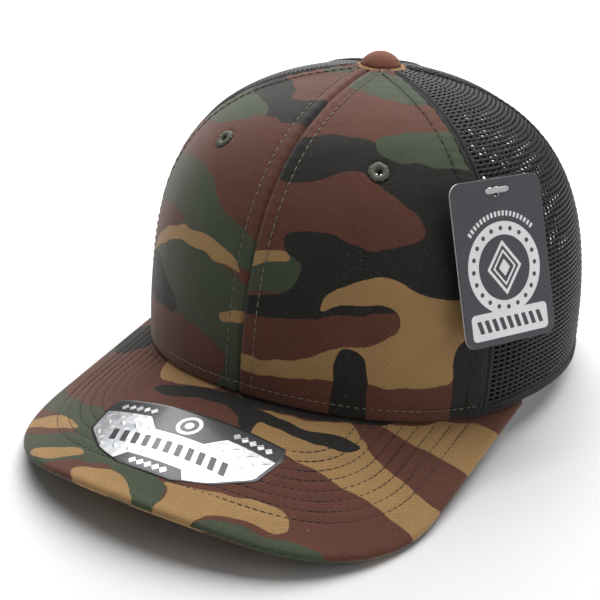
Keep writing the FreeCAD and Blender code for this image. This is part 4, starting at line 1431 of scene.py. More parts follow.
# Across is towards the wearer's left and along is towards the back, from the head's axis.
VISOR_PRINT = print_of(
    green_right=[
        (-92, -92), (-80, -97), (-70, -107), (-58, -113), (-46, -116), (-38, -120), (-38, -134),
        (-48, -131), (-56, -125), (-62, -120.5), (-72, -116), (-84, -110), (-92, -108),
    ],
    green_front=[
        (-76, -131), (-66, -133), (-54, -133.5), (-42, -132), (-34, -134), (-26, -140), (-10, -142),
        (4, -146), (9, -152), (11, -162), (-4, -162), (-20, -150), (-30, -147), (-42, -150), (-50, -156),
        (-70, -142),
    ],
    green_hip=[(-92, -55), (-80, -60), (-78, -70), (-84, -76), (-92, -76)],
    black_hip=[(-84, -48), (-70, -52), (-62, -60), (-56, -69), (-64, -74), (-76, -73), (-80, -66)],
    green_end=[(-92, -18), (-76, -24), (-74, -38), (-80, -44), (-92, -46)],
    tan_right=[
        (-88, -120.5), (-74, -120.5), (-62, -119.5), (-55, -124), (-45, -130), (-54, -130.5),
        (-66, -127.5), (-88, -125.5),
    ],
    tan_corner=[
        (-58, -143), (-46, -141.5), (-38, -141), (-30, -145), (-38, -147), (-46, -149.5), (-54, -147.5),
    ],
    brown_chip=[(-28, -148.5), (-20, -146), (-14, -148), (-18, -150.5), (-27, -151.5)],
    tan_tip=[(-30, -152), (-24, -149.5), (-12, -149.3), (-5, -153), (4, -162), (-20, -162), (-28, -156.5)],
    tan_rim=[(-42, -80), (-39, -91), (-34, -97), (-22, -97), (-8, -96), (-8, -88), (-24, -80), (-36, -74)],
    tan_rear=[
        (48, -79.5), (56, -73), (62, -66), (70, -54), (78, -47), (92, -44), (92, -69), (80, -71.5),
        (70, -76), (58, -77.5),
    ],
    tan_left=[
        (13, -98), (22, -97), (30, -93.5), (38, -88), (44, -84.5), (50, -89), (54, -93), (64, -93.5),
        (74, -94), (92, -92), (92, -110), (75, -109.5), (60, -110.5), (45, -112.5), (30, -113.5),
        (17, -113.5), (14, -106), (13, -101),
    ],
    black_rim=[
        (2, -90), (2, -98), (14, -98), (24, -95.5), (33, -91), (40, -86), (46, -83.5), (54, -75),
        (54, -66), (40, -74), (20, -84),
    ],
    black_finger=[
        (-34, -100.5), (-26, -98), (-14, -96.5), (-2, -95.5), (8, -98.5), (20, -99.5), (32, -98),
        (40, -94), (46, -91.5), (51, -92), (50, -96.5), (42, -100.5), (32, -103.5), (20, -104),
        (14, -104), (17, -114), (10, -110), (6, -105), (-2, -102.5), (-14, -103), (-24, -105),
        (-31, -104.5),
    ],
    tan_front=[
        (3, -146.5), (14, -145), (26, -140.5), (38, -136), (46, -133.5), (50, -137), (52, -142),
        (42, -144.5), (33, -147.5), (26, -151.5), (23, -162), (10, -162), (10, -154), (8, -149),
    ],
    green_left=[
        (23, -162), (26, -154), (34, -149.5), (46, -146.5), (56, -142.5), (66, -137), (68, -146),
        (50, -156), (36, -162),
    ],
)


# ---------------------------------------------------------------- crown cloth


RISE_LENGTH = 150.0  # millimetres of cloth from the rim to the apex
DEGREE_LENGTH = 1.6  # millimetres of cloth to a degree round the rim


def crown_place(angle: Array, rise: Array) -> Array:
    """Flat place on the crown's cloth in millimetres: across by angle, along by rise."""
    width = FORM.spoke(angle, np.minimum(rise, 0.2)) / MM
    return np.stack([angle * width, rise * RISE_LENGTH], -1)


def seam_grid(
    seam: float, half: float, low: float, high: float, rows: int, columns: int
) -> tuple[Array, Array, Array]:
    """Grid of a strip that runs up a seam.

    Args:
        seam: Angle of the seam, in radians.
        half: Half width of the strip.
        low: Rise where it starts.
        high: Rise where it ends.
        rows: Number of rows, from low to high.
        columns: Number of columns across it.

    Returns:
        Angles, rises, and shares across it from -1 to 1.
    """
    rise, share = np.meshgrid(np.linspace(low, high, rows), np.linspace(-1, 1, columns), indexing="ij")
    return seam + share * half / FORM.spoke(np.full_like(rise, seam), rise), rise, share


def band_grid(
    start: float, end: float, low: float, high: float, columns: int, rows: int
) -> tuple[Array, Array, Array]:
    """Grid of a band that runs round the crown.

    Args:
        start: Angle where it starts, in radians.
        end: Angle where it ends.
        low: Height of its lower edge above the rim.
        high: Height of its upper edge above the rim.
        columns: Number of columns round the crown.
        rows: Number of rows up the band.

    Returns:
        Angles, rises, and levels from 0 at the lower edge to 1.
    """
    angle, level = np.meshgrid(np.linspace(start, end, columns), np.linspace(0, 1, rows))
    foot, head = FORM.rise_at(angle[:1], low), FORM.rise_at(angle[:1], high)
    return angle, foot + (head - foot) * level, level


def crown_path(angle: Array, rise: Array, lift: float = 0.0) -> tuple[Array, Array]:
    """Points and normals of a line on the crown."""
    return FORM.crown(angle, rise, -lift), FORM.normal(angle, rise)


def beside_seam(
    seam: float, offset: float, low: float, high: float, lift: float = 0.0
) -> tuple[Array, Array]:
    """Line beside a meridian seam at a constant distance from it.

    Args:
        seam: Angle of the seam, in radians.
        offset: Distance from the seam, towards larger angles if it is positive.
        low: Rise where the line starts.
        high: Rise where it ends.
        lift: Height above the crown's outer face.

    Returns:
        Points and normals in the head frame.
    """
    rise = np.linspace(low, high, 260)
    angle = seam + offset / FORM.spoke(np.full_like(rise, seam), rise)
    return crown_path(angle, rise, lift)


def crown_strip(
    name: str,
    angle: Array,
    rise: Array,
    outer: Array | float,
    inner: Array | float,
    material: Material,
    slot: str,
    replaces: Sequence[str] = (),
) -> Piece:
    """Closed strip of cloth between two depths of the crown, its long edges rounded.

    Args:
        name: Name of the piece.
        angle: Angles of its grid, in radians.
        rise: Rises of its grid.
        outer: Depth of its outer face.
        inner: Depth of its inner face.
        material: Its finish.
        slot: Its slot in the record.
        replaces: CAD nodes that it stands for.

    Returns:
        The piece, not yet built.
    """
    middle = (np.asarray(outer, float) + np.asarray(inner, float)) / 2
    half = (np.asarray(inner, float) - np.asarray(outer, float)) / 2
    rows, columns = angle.shape
    across = np.linspace(-1, 1, columns)
    along = np.linspace(-1, 1, rows)
    edge = (1 - np.abs(across) ** 14)[None, :] * (1 - np.abs(along) ** 30)[:, None]
    round_off = 0.45 + 0.55 * np.sqrt(np.clip(edge, 0, 1))
    top = FORM.crown(angle, rise, middle - half * round_off)
    under = FORM.crown(angle, rise, middle + half * round_off)
    place = crown_place(angle, rise)
    return skin(name, top, under, grid_quads(rows, columns), material, slot, place, replaces=replaces)


@dataclass
class FrontPanels:
    """The two printed front panels, their topstitching, stiffeners and vent eyelets."""

    cloth: Material
    backing: Material
    pale_thread: Material
    dark_thread: Material
    ring_thread: Material
    prints: dict[int, CamoPrint] = field(default_factory=lambda: {1: LEFT_PRINT, -1: RIGHT_PRINT})
    rows: int = 170
    columns: int = 104
    centre_row: float = 5.4 * MM
    side_row: float = 6.0 * MM
    rim_row: float = 3.2 * MM
    eyelet_angle: float = math.radians(28.95)
    eyelet_rise: float = 0.567
    eyelet_radius: float = 3.6 * MM
    eyelet_bore: float = 1.45 * MM

    def spans(self, count: int) -> Array:
        """Shares across a panel, closer together beside its two seams.

        Args:
            count: Number of even steps between the seams.

        Returns:
            Shares from 0 to 1.
        """
        fine = np.array([0.0015, 0.004, 0.008, 0.013, 0.019, 0.026, 0.034])
        even = np.linspace(0.045, 0.955, count)
        return np.concatenate([[0.0], fine, even, 1 - fine[::-1], [1.0]])

    def relief(self, side: int, angle: Array, rise: Array) -> Array:
        """Height of the cloth's surface over the plain crown: seams, stitch dimples and slack.

        Args:
            side: 1 for the wearer's left and -1 for the right.
            angle: Angles from the front, positive on both sides.
            rise: Rises.

        Returns:
            Heights in metres.
        """
        spoke = FORM.spoke(angle, rise)
        centre = angle * spoke
        flank = (FORM.seam_front - angle) * spoke
        x, y = centre / MM, rise * RISE_LENGTH
        foot = y * MM
        lift = 0.22 * MM * waves(x, y, 46.0, 5 + side)
        lift += 0.07 * MM * waves(x, y, 15.0, 8 + side)
        lift -= 0.95 * MM * bump(centre, 0.75 * MM)
        lift += 0.32 * MM * bump(centre - 2.4 * MM, 1.5 * MM)
        lift -= 0.20 * MM * bump(centre - self.centre_row, 0.6 * MM)
        lift += 0.50 * MM * np.clip(1 - flank / (7.5 * MM), 0, 1) ** 0.6
        lift -= 0.22 * MM * bump(flank - self.side_row, 0.6 * MM)
        lift -= 0.60 * MM * bump(flank, 0.5 * MM)
        lift -= 0.22 * MM * bump(foot - self.rim_row, 0.6 * MM)
        lift += 0.30 * MM * bump(foot - 1.4 * MM, 1.3 * MM)
        lift -= 0.50 * MM * bump(foot, 0.6 * MM)
        pull = np.exp(-centre / (6 * MM)) + np.exp(-flank / (7 * MM))
        lift += 0.10 * MM * pull * np.sin(y * 1.25 + waves(x, y, 20.0, 3))
        ring = self.eyelet_distance(side, angle * side, rise)
        lift -= 0.35 * MM * bump(ring - self.eyelet_radius, 1.2 * MM)
        return lift

    def eyelet_distance(self, side: int, angle: Array, rise: Array) -> Array:
        """Distance from the eyelet's middle."""
        middle = FORM.crown(np.array(side * self.eyelet_angle), np.array(self.eyelet_rise))
        return np.linalg.norm(FORM.crown(angle, rise) - middle, axis=-1)

    def build(self) -> None:
        """Build both panels with everything sewn into them."""
        for name, side in (("left", 1), ("right", -1)):
            self.panel(name, side)
            self.stiffener(name, side)
            self.eyelet(name, side)
        self.stitching()

    def panel(self, name: str, side: int) -> None:
        """One panel, cut to the seams, with a hole for its eyelet.

        Args:
            name: left or right.
            side: 1 for the wearer's left and -1 for the right.
        """
        share = self.spans(self.columns)
        rise = np.linspace(0, FORM.panel_top, self.rows)
        rise = np.unique(np.concatenate([rise, [0.002, 0.004, 0.0085, 0.0105]]))
        angle, rise = np.meshgrid(share * FORM.seam_front, rise)
        lift = self.relief(side, angle, rise)
        turned = angle * side
        quads = grid_quads(*angle.shape)
        near = self.eyelet_distance(side, turned, rise).ravel() < 2.6 * MM
        skin(
            f"front_panel_{name}_cloth",
            FORM.crown(turned, rise, -lift),
            FORM.crown(turned, rise, FORM.cloth - lift * 0.5),
            quads[~near[quads].any(axis=1)],
            self.cloth,
            "camo_twill",
            crown_place(turned, rise),
            self.prints[side].fields(np.degrees(turned) * DEGREE_LENGTH, rise * RISE_LENGTH),
            replaces=[f"front_panel_{name}"],
            sharp=65.0,
        ).build()

    def stiffener(self, name: str, side: int) -> None:
        """Buckram behind one panel.

        Args:
            name: left or right.
            side: 1 for the wearer's left and -1 for the right.
        """
        edge = math.radians(1.5)
        share = np.linspace(0, 1, 48)
        angle, rise = np.meshgrid(edge + share * (FORM.seam_front - 2 * edge), np.linspace(0.01, 0.9, 60))
        x, y = np.degrees(angle) * DEGREE_LENGTH, rise * RISE_LENGTH
        slack = 0.12 * MM * waves(x, y, 30.0, 12 + side)
        keep = self.eyelet_distance(side, angle * side, rise)
        outer = 1.0 * MM + slack
        piece = crown_strip(
            f"front_stiffener_{name}_gauze", angle * side, rise, outer, outer + 0.6 * MM,
            self.backing, "buckram", [f"front_stiffener_{name}"],
        )
        near = np.tile(keep.ravel() < 2.9 * MM, 2)
        piece.faces = piece.faces[~near[piece.faces].any(axis=1)]
        piece.build()

    def stitching(self) -> None:
        """Topstitching beside the centre seam, inside the side seams and above the visor."""
        rows = []
        for offset in (-self.centre_row, self.centre_row):
            rows.append(StitchRow(3.1 * MM, 0.8, seed=3).sew(*beside_seam(0.0, offset, 0.012, 0.955)))
        sewn("centre_topstitching", rows, self.pale_thread, "camo_twill")
        rows = []
        for side in (1, -1):
            path = beside_seam(side * FORM.seam_front, -side * self.side_row, 0.012, 0.955, 0.16 * MM)
            rows.append(StitchRow(3.1 * MM, 0.8, seed=5).sew(*path))
        sewn("side_topstitching", rows, self.dark_thread, "camo_twill")
        angle = np.linspace(-FORM.seam_front, FORM.seam_front, 400) * 0.985
        path = crown_path(angle, np.full_like(angle, self.rim_row / (RISE_LENGTH * MM)))
        rows = [StitchRow(2.9 * MM, 0.76, seed=6).sew(*path)]
        sewn("rim_topstitching", rows, self.pale_thread, "camo_twill")

    def eyelet(self, name: str, side: int) -> None:
        """Embroidered vent: a padded ring of thread that wraps the cut edge.

        Args:
            name: left or right.
            side: 1 for the wearer's left and -1 for the right.
        """
        angle = np.array(side * self.eyelet_angle)
        rise = np.array(self.eyelet_rise)
        middle = FORM.crown(angle, rise)
        axis = FORM.normal(angle, rise)
        across = np.cross([0.0, 0.0, 1.0], axis)
        across /= np.linalg.norm(across)
        up = np.cross(axis, across)
        draw = np.random.default_rng(17 + side)
        count = 46
        turn = np.arange(count) / count * math.tau + draw.uniform(-0.03, 0.03, count)
        share = np.linspace(0, 1, 12)
        reach = self.eyelet_radius + draw.uniform(-0.35, 0.3, (count, 1)) * MM
        inner = self.eyelet_bore
        radius = np.where(share < 0.7, reach + (inner - reach) * (share / 0.7), inner)
        dome = np.sin(np.clip(share / 0.72, 0, 1) * math.pi) ** 0.7 * 0.55 * MM
        height = np.where(share < 0.7, dome - 0.12 * MM, -(share - 0.7) / 0.3 * 1.6 * MM)
        height = np.where(share < 0.7, height, height + (dome[8] - 0.12 * MM) * (1 - (share - 0.7) / 0.3))
        radial = np.cos(turn)[:, None] * across + np.sin(turn)[:, None] * up
        tangent = -np.sin(turn)[:, None] * across + np.cos(turn)[:, None] * up
        centres = middle + radial[:, None, :] * radius[..., None] + axis * height[None, :, None]
        sides = np.broadcast_to(tangent[:, None, :], centres.shape)
        way = np.gradient(centres, axis=1)
        lifts = np.cross(sides, way)
        lifts /= np.linalg.norm(lifts, axis=-1, keepdims=True)
        thick = np.interp(radius, [inner, self.eyelet_radius], [0.17 * MM, 0.36 * MM])
        points, faces = tubes(centres, sides, lifts, thick)
        Piece(
            f"eyelet_{name}_ring", FORM.stand(points), faces, self.ring_thread, "eyelet_thread",
            replaces=[f"eyelet_{name}"],
        ).build()


@dataclass
class NetPanels:
    """Open net of the sides and the back, with its folded hem and seam welts."""

    yarn: Material
    tape: Material
    thread: Material
    cell_width: float = 3.0 * MM
    cell_height: float = 1.9 * MM
    hole_width: float = 1.75 * MM
    hole_height: float = 1.05 * MM
    thickness: float = 0.6 * MM
    welt: float = 2.4 * MM

    def build(self) -> None:
        """Build the four panels and what edges them."""
        for name, side in (("left", 1), ("right", -1)):
            self.panel(f"side_mesh_{name}", side, FORM.seam_front, FORM.seam_back)
            self.panel(f"rear_mesh_{name}", side, FORM.seam_back, math.pi)
            self.hem(name, side)
        self.welts()

    def in_arch(self, point: Array, margin: float) -> Array:
        """True for points of the back that lie in the half-moon opening, grown by a margin.

        Args:
            point: Positions in the head frame.
            margin: Distance that the opening is grown by.

        Returns:
            One truth value for each point.
        """
        high = point[..., 2] - FORM.rim_back
        oval = np.square(point[..., 0] / (FORM.arch_half_width + margin))
        oval = oval + np.square(np.maximum(high, 0) / (FORM.arch_height + margin))
        return (oval < 1) & (point[..., 1] > 0)

    def panel(self, node: str, side: int, start: float, end: float) -> None:
        """One panel of net, its rows running round the cap and its ribs up the middle of the panel.

        Args:
            node: CAD node that the panel stands for.
            side: 1 for the wearer's left and -1 for the right.
            start: Angle of its front seam.
            end: Angle of its rear seam.
        """
        centre = (start + end) / 2
        sample = np.linspace(0.004, FORM.panel_top, 400)
        spine = FORM.crown(np.full_like(sample, centre), sample)
        run = measured(spine)
        spoke = FORM.spoke(np.full_like(sample, centre), sample)
        rows = int(run[-1] / self.cell_height)
        columns = 2 * math.ceil((end - start) / 2 * spoke.max() / self.cell_width) + 2
        x = (np.arange(2 * columns + 1) - columns) * self.cell_width / 2
        y = np.arange(2 * rows + 1) * run[-1] / (2 * rows)
        grid_x, grid_y = np.meshgrid(x, y)
        sway = 0.12 * MM * waves(grid_x / MM, grid_y / MM, 14.0, 40)
        corner_x = grid_x + np.where(np.arange(2 * rows + 1)[:, None] % 2 == 0, sway, 0)
        number = np.arange((2 * rows + 1) * (2 * columns + 1)).reshape(2 * rows + 1, 2 * columns + 1)
        mid_row = np.arange(1, 2 * rows, 2)
        mid_column = np.arange(1, 2 * columns, 2)
        cell_row, cell_column = (part.ravel() for part in np.meshgrid(mid_row, mid_column, indexing="ij"))
        ring = ((-1, -1), (0, -1), (1, -1), (1, 0), (1, 1), (0, 1), (-1, 1), (-1, 0))
        outer_index = np.stack([number[cell_row + dy, cell_column + dx] for dx, dy in ring], -1)
        middle_x, middle_y = grid_x[cell_row, cell_column], grid_y[cell_row, cell_column]
        squash = 0.8
        hole_x, hole_y = [], []
        for dx, dy in ring:
            soft = squash if dx and dy else 1.0
            hole_x.append(middle_x + dx * soft * self.hole_width / 2 + dy * 0.12 * MM)
            hole_y.append(middle_y + dy * soft * self.hole_height / 2)
        hole_x, hole_y = np.stack(hole_x, -1), np.stack(hole_y, -1)
        base = number.size
        hole_index = base + np.arange(hole_x.size).reshape(hole_x.shape)
        following = np.roll(np.arange(8), -1)
        quads = np.stack(
            [outer_index, outer_index[:, following], hole_index[:, following], hole_index], -1
        )
        all_x = np.concatenate([corner_x.ravel(), hole_x.ravel()])
        all_y = np.concatenate([grid_y.ravel(), hole_y.ravel()])
        rise = np.interp(all_y, run, sample)
        reach = np.interp(all_y, run, spoke)
        angle = np.clip(centre + all_x / reach, start + 0.2 * MM / reach, end - 0.2 * MM / reach)
        width = np.ptp(angle[outer_index], axis=1) * reach[outer_index[:, 0]]
        whole = width > self.cell_width * 0.55
        if node.startswith("rear"):
            point = FORM.crown(angle[hole_index].mean(axis=1), rise[hole_index].mean(axis=1))
            whole &= ~self.in_arch(point, 2.6 * MM)
        quads = quads[whole].reshape(-1, 4)
        is_rib = np.zeros(number.shape)
        is_rib[:, ::2] = 1.0
        # Crosswise yarns: set a little lower than the ribs, and marked for the net's painted highlight.
        is_dash = np.zeros(number.shape)
        is_dash[::2, 1::2] = 1.0
        rib = np.concatenate([is_rib.ravel(), np.full(hole_x.size, -1.0)])
        ring_dash = [0.3 if dx and dy else 0.7 * abs(dy) for dx, dy in ring]
        dash = np.concatenate([is_dash.ravel(), np.tile(ring_dash, len(hole_x))])
        depth = np.select([rib > 0.5, dash > 0.5, rib < -0.5], [-0.10 * MM, -0.02 * MM, 0.17 * MM], 0.0)
        slack = 0.25 * MM * waves(all_x / MM, all_y / MM, 40.0, 44)
        skin(
            f"{node}_net",
            FORM.crown(angle * side, rise, depth + slack),
            FORM.crown(angle * side, rise, self.thickness - depth + slack),
            quads,
            self.yarn,
            "black_mesh",
            np.stack([all_x / MM * side, all_y / MM], -1),
            {"dash": dash},
            replaces=[node],
            sharp=80.0,
        ).build()

    def hem(self, name: str, side: int) -> None:
        """Folded lower edge of the net on one side, from the front seam to the opening.

        Args:
            name: left or right.
            side: 1 for the wearer's left and -1 for the right.
        """
        start, end = FORM.seam_front, math.radians(148.0)
        angle, rise, level = band_grid(start, end, 0.0, 4.2 * MM, 150, 9)
        fold = 0.3 * MM * bump((level - 0.25) * 2, 0.6)
        bead = 0.05 * MM * np.sin(np.degrees(angle) * 4.1)
        crown_strip(
            f"net_hem_{name}", angle * side, rise, -0.35 * MM - fold - bead, 0.95 * MM,
            self.tape, "black_mesh",
        ).build()
        line = np.linspace(start, end, 300)[1:-1] * side
        level = FORM.rise_at(line, 3.3 * MM)
        rows = [StitchRow(2.8 * MM, 0.74, seed=9).sew(*crown_path(line, level, 0.5 * MM))]
        sewn(f"net_hem_stitching_{name}", rows, self.thread, "black_mesh")

    def welts(self) -> None:
        """Turned seams between the net panels, each with two rows of stitches."""
        top_of_arch = float(FORM.rise_at(np.array(math.pi), FORM.arch_height + 5.0 * MM))
        places = (
            ("front_left", FORM.seam_front + 0.012, 0.0), ("front_right", -FORM.seam_front - 0.012, 0.0),
            ("rear_left", FORM.seam_back, 0.0), ("rear_right", -FORM.seam_back, 0.0),
            ("rear_centre", math.pi, top_of_arch),
        )
        stitches = []
        for name, seam, low in places:
            angle, rise, share = seam_grid(seam, self.welt, low, 0.955, 170, 17)
            ridge = 0.42 * MM * (bump(share - 0.5, 0.3) + bump(share + 0.5, 0.3))
            ridge += 0.05 * MM * waves(rise * RISE_LENGTH, share * 3, 7.0, 51)
            crown_strip(
                f"seam_welt_{name}", angle, rise, -ridge - 0.12 * MM, 0.75 * MM, self.tape, "black_tape",
            ).build()
            if name.startswith("rear"):
                for offset in (-1.9 * MM, 1.9 * MM):
                    row = beside_seam(seam, offset, low + 0.01, 0.95, 0.3 * MM)
                    stitches.append(StitchRow(2.8 * MM, 0.74, seed=11).sew(*row))
        sewn("net_seam_stitching", stitches, self.thread, "black_mesh")


@dataclass
class Trim:
    """Inside tapes, the opening's binding, the sweatband and the care label."""

    tape: Material
    band: Material
    edging: Material
    label: Material
    thread: Material
    tape_half: float = 6.0 * MM
    tape_thickness: float = 0.65 * MM
    binding: float = 7.0 * MM

    def build(self) -> None:
        """Build every strip."""
        self.seam_tapes()
        self.opening_binding()
        self.rim_tapes()
        self.sweatband()

    def seam_tapes(self) -> None:
        """Cotton tapes over the inside of the crown seams, with a stitch line near each edge."""
        low = float(FORM.rise_at(np.array(math.pi), FORM.arch_height + self.binding + 1.0 * MM))
        places = [("front_seam_tape", 0.0, 1.8 * MM, 0.01)]
        for name, side in (("left", 1), ("right", -1)):
            places.append((f"side_seam_tape_{name}", side * FORM.seam_front, 1.8 * MM, 0.01))
            places.append((f"rear_side_seam_tape_{name}", side * FORM.seam_back, 1.0 * MM, 0.01))
        places.append(("rear_centre_seam_tape", math.pi, 1.0 * MM, low))
        stitches = []
        for node, seam, depth, foot in places:
            angle, rise, share = seam_grid(seam, self.tape_half, foot, 0.9, 120, 15)
            crease = 0.1 * MM * bump(share, 0.12)
            crease += 0.04 * MM * waves(rise * RISE_LENGTH, share * 6, 9.0, 60)
            outer = depth - crease
            inner = outer + self.tape_thickness
            crown_strip(f"{node}_cotton", angle, rise, outer, inner, self.tape, "black_tape", [node]).build()
            for offset in (-4.9 * MM, 4.9 * MM):
                path, normals = beside_seam(seam, offset, foot + 0.01, 0.89, -(depth + 0.68 * MM))
                stitches.append(StitchRow(3.2 * MM, 0.75, seed=21).sew(path, -normals))
        sewn("seam_tape_stitching", stitches, self.thread, "black_tape")

    def arch_place(self, turn: Array, margin: Array | float) -> tuple[Array, Array]:
        """Angle and rise of points round the half-moon opening.

        Args:
            turn: Direction round the opening, 0 at the wearer's left foot and pi at the right foot.
            margin: Distance outside the opening's edge.

        Returns:
            Angles in radians and rises.
        """
        x = (FORM.arch_half_width + margin) * np.cos(turn)
        z = (FORM.arch_height + margin) * np.sin(turn) + FORM.rim_back
        angle = math.pi - np.arcsin(np.clip(x / FORM.opening_back, -0.95, 0.95))
        rise = np.zeros_like(angle)
        for _ in range(14):
            rise = FORM.rise_at(angle, np.maximum(z - FORM.rim(angle)[..., 2], 0))
            miss = x - FORM.surface(angle, rise)[..., 0]
            angle = angle - miss / FORM.spoke(angle, rise)
        return angle, rise

    def opening_binding(self) -> None:
        """Folded tape that binds the edge of the half-moon opening."""
        turn, share = np.meshgrid(np.linspace(0, math.pi, 170), np.linspace(0, 1, 19), indexing="ij")
        margin = -0.7 * MM + share * (self.binding + 0.7 * MM)
        angle, rise = self.arch_place(turn, margin)
        fold = 1 - np.sqrt(np.clip(1 - (1 - np.clip(share / 0.16, 0, 1)) ** 2, 0, 1))
        groove = 0.16 * MM * (bump(share - 0.82, 0.05) + bump(share - 0.25, 0.05))
        pucker = 0.07 * MM * waves(turn * 50, share * 5, 8.0, 70)
        outer = -0.75 * MM + 1.1 * MM * fold + groove - pucker
        inner = 1.65 * MM - 1.1 * MM * fold - groove
        skin(
            "opening_binding_tape",
            FORM.crown(angle, rise, outer),
            FORM.crown(angle, rise, inner),
            grid_quads(*angle.shape),
            self.tape,
            "black_tape",
            np.stack([share * 8, turn * 50], -1),
            replaces=["opening_binding"],
        ).build()
        rows = []
        for margin in (1.0 * MM, 5.6 * MM):
            line = np.linspace(0.02, math.pi - 0.02, 400)
            angle, rise = self.arch_place(line, margin)
            rows.append(StitchRow(2.9 * MM, 0.75, seed=23).sew(*crown_path(angle, rise, 0.62 * MM)))
        sewn("opening_binding_stitching", rows, self.thread, "black_tape")

    def rim_tapes(self) -> None:
        """Tape over the rim seam inside each side."""
        for name, side in (("left", 1), ("right", -1)):
            start, end = FORM.seam_front + math.radians(6), math.radians(133)
            angle, rise, level = band_grid(start, end, 2.2 * MM, 8.0 * MM, 90, 9)
            outer = 2.6 * MM - 0.05 * MM * waves(np.degrees(angle) * 1.5, level * 6, 8.0, 75)
            crown_strip(
                f"rim_tape_{name}_cotton", angle * side, rise, outer, outer + self.tape_thickness,
                self.tape, "black_tape", [f"rim_tape_{name}"],
            ).build()

    @staticmethod
    def band_depth(angle: Array) -> Array:
        """Depth of the sweatband's outer face: it swells inwards over the straps' sewn tails."""
        share = np.clip((np.degrees(np.abs(angle)) - 122) / 12, 0, 1)
        return (3.8 + share * share * (3 - 2 * share)) * MM

    def sweatband(self) -> None:
        """Padded band inside the rim, its folded edging, stitches and the care label."""
        end = math.radians(146)
        angle, rise, level = band_grid(-end, end, 0.8 * MM, 30 * MM, 420, 25)
        x, y = np.degrees(angle) * 1.55, level * 30
        puff = 0.18 * MM * waves(x, y, 16.0, 80) + 0.10 * MM * np.sin(x * 0.9) * np.abs(level - 0.5) * 2
        outer = self.band_depth(angle) + 0.1 * MM
        inner = outer + 1.0 * MM + puff * 0.6
        crown_strip(
            "sweatband_twill", angle, rise, outer, inner, self.band, "sweatband_cotton", ["sweatband"],
        ).build()
        angle, rise, level = band_grid(-end, end, 29.2 * MM, 32.4 * MM, 420, 11)
        round_edge = 0.35 * MM * np.sqrt(np.clip(1 - (2 * level - 1) ** 2, 0, 1))
        outer = self.band_depth(angle) - round_edge + 0.1 * MM
        inner = self.band_depth(angle) + 1.15 * MM + round_edge
        crown_strip(
            "sweatband_piping", angle, rise, outer, inner, self.edging, "edging_cotton", ["sweatband_edging"],
        ).build()
        line = np.linspace(-end, end, 900) * 0.995
        rows = []
        for height in (28.4 * MM, 4.0 * MM):
            rise_line = FORM.rise_at(line, height)
            depth = self.band_depth(line) + 1.18 * MM
            points = FORM.crown(line, rise_line, depth)
            rows.append(StitchRow(3.0 * MM, 0.72, seed=27).sew(points, -FORM.normal(line, rise_line)))
        sewn("sweatband_stitching", rows, self.thread, "sweatband_cotton")
        self.care_label()

    def care_label(self) -> None:
        """Blank satin label sewn inside the band."""
        middle, spread = math.radians(96), 9.0 * MM / FORM.opening_side
        angle, rise, level = band_grid(middle - spread, middle + spread, 6 * MM, 22 * MM, 30, 24)
        curl = 0.5 * MM * (1 - level) ** 3 + 0.06 * MM * waves(np.degrees(angle) * 1.5, level * 16, 9.0, 90)
        outer = self.band_depth(angle) + 1.35 * MM + curl
        inner = outer + 0.25 * MM
        crown_strip(
            "care_label_satin", angle, rise, outer, inner, self.label, "label_satin", ["care_label"],
        ).build()


# ---------------------------------------------------------------- visor


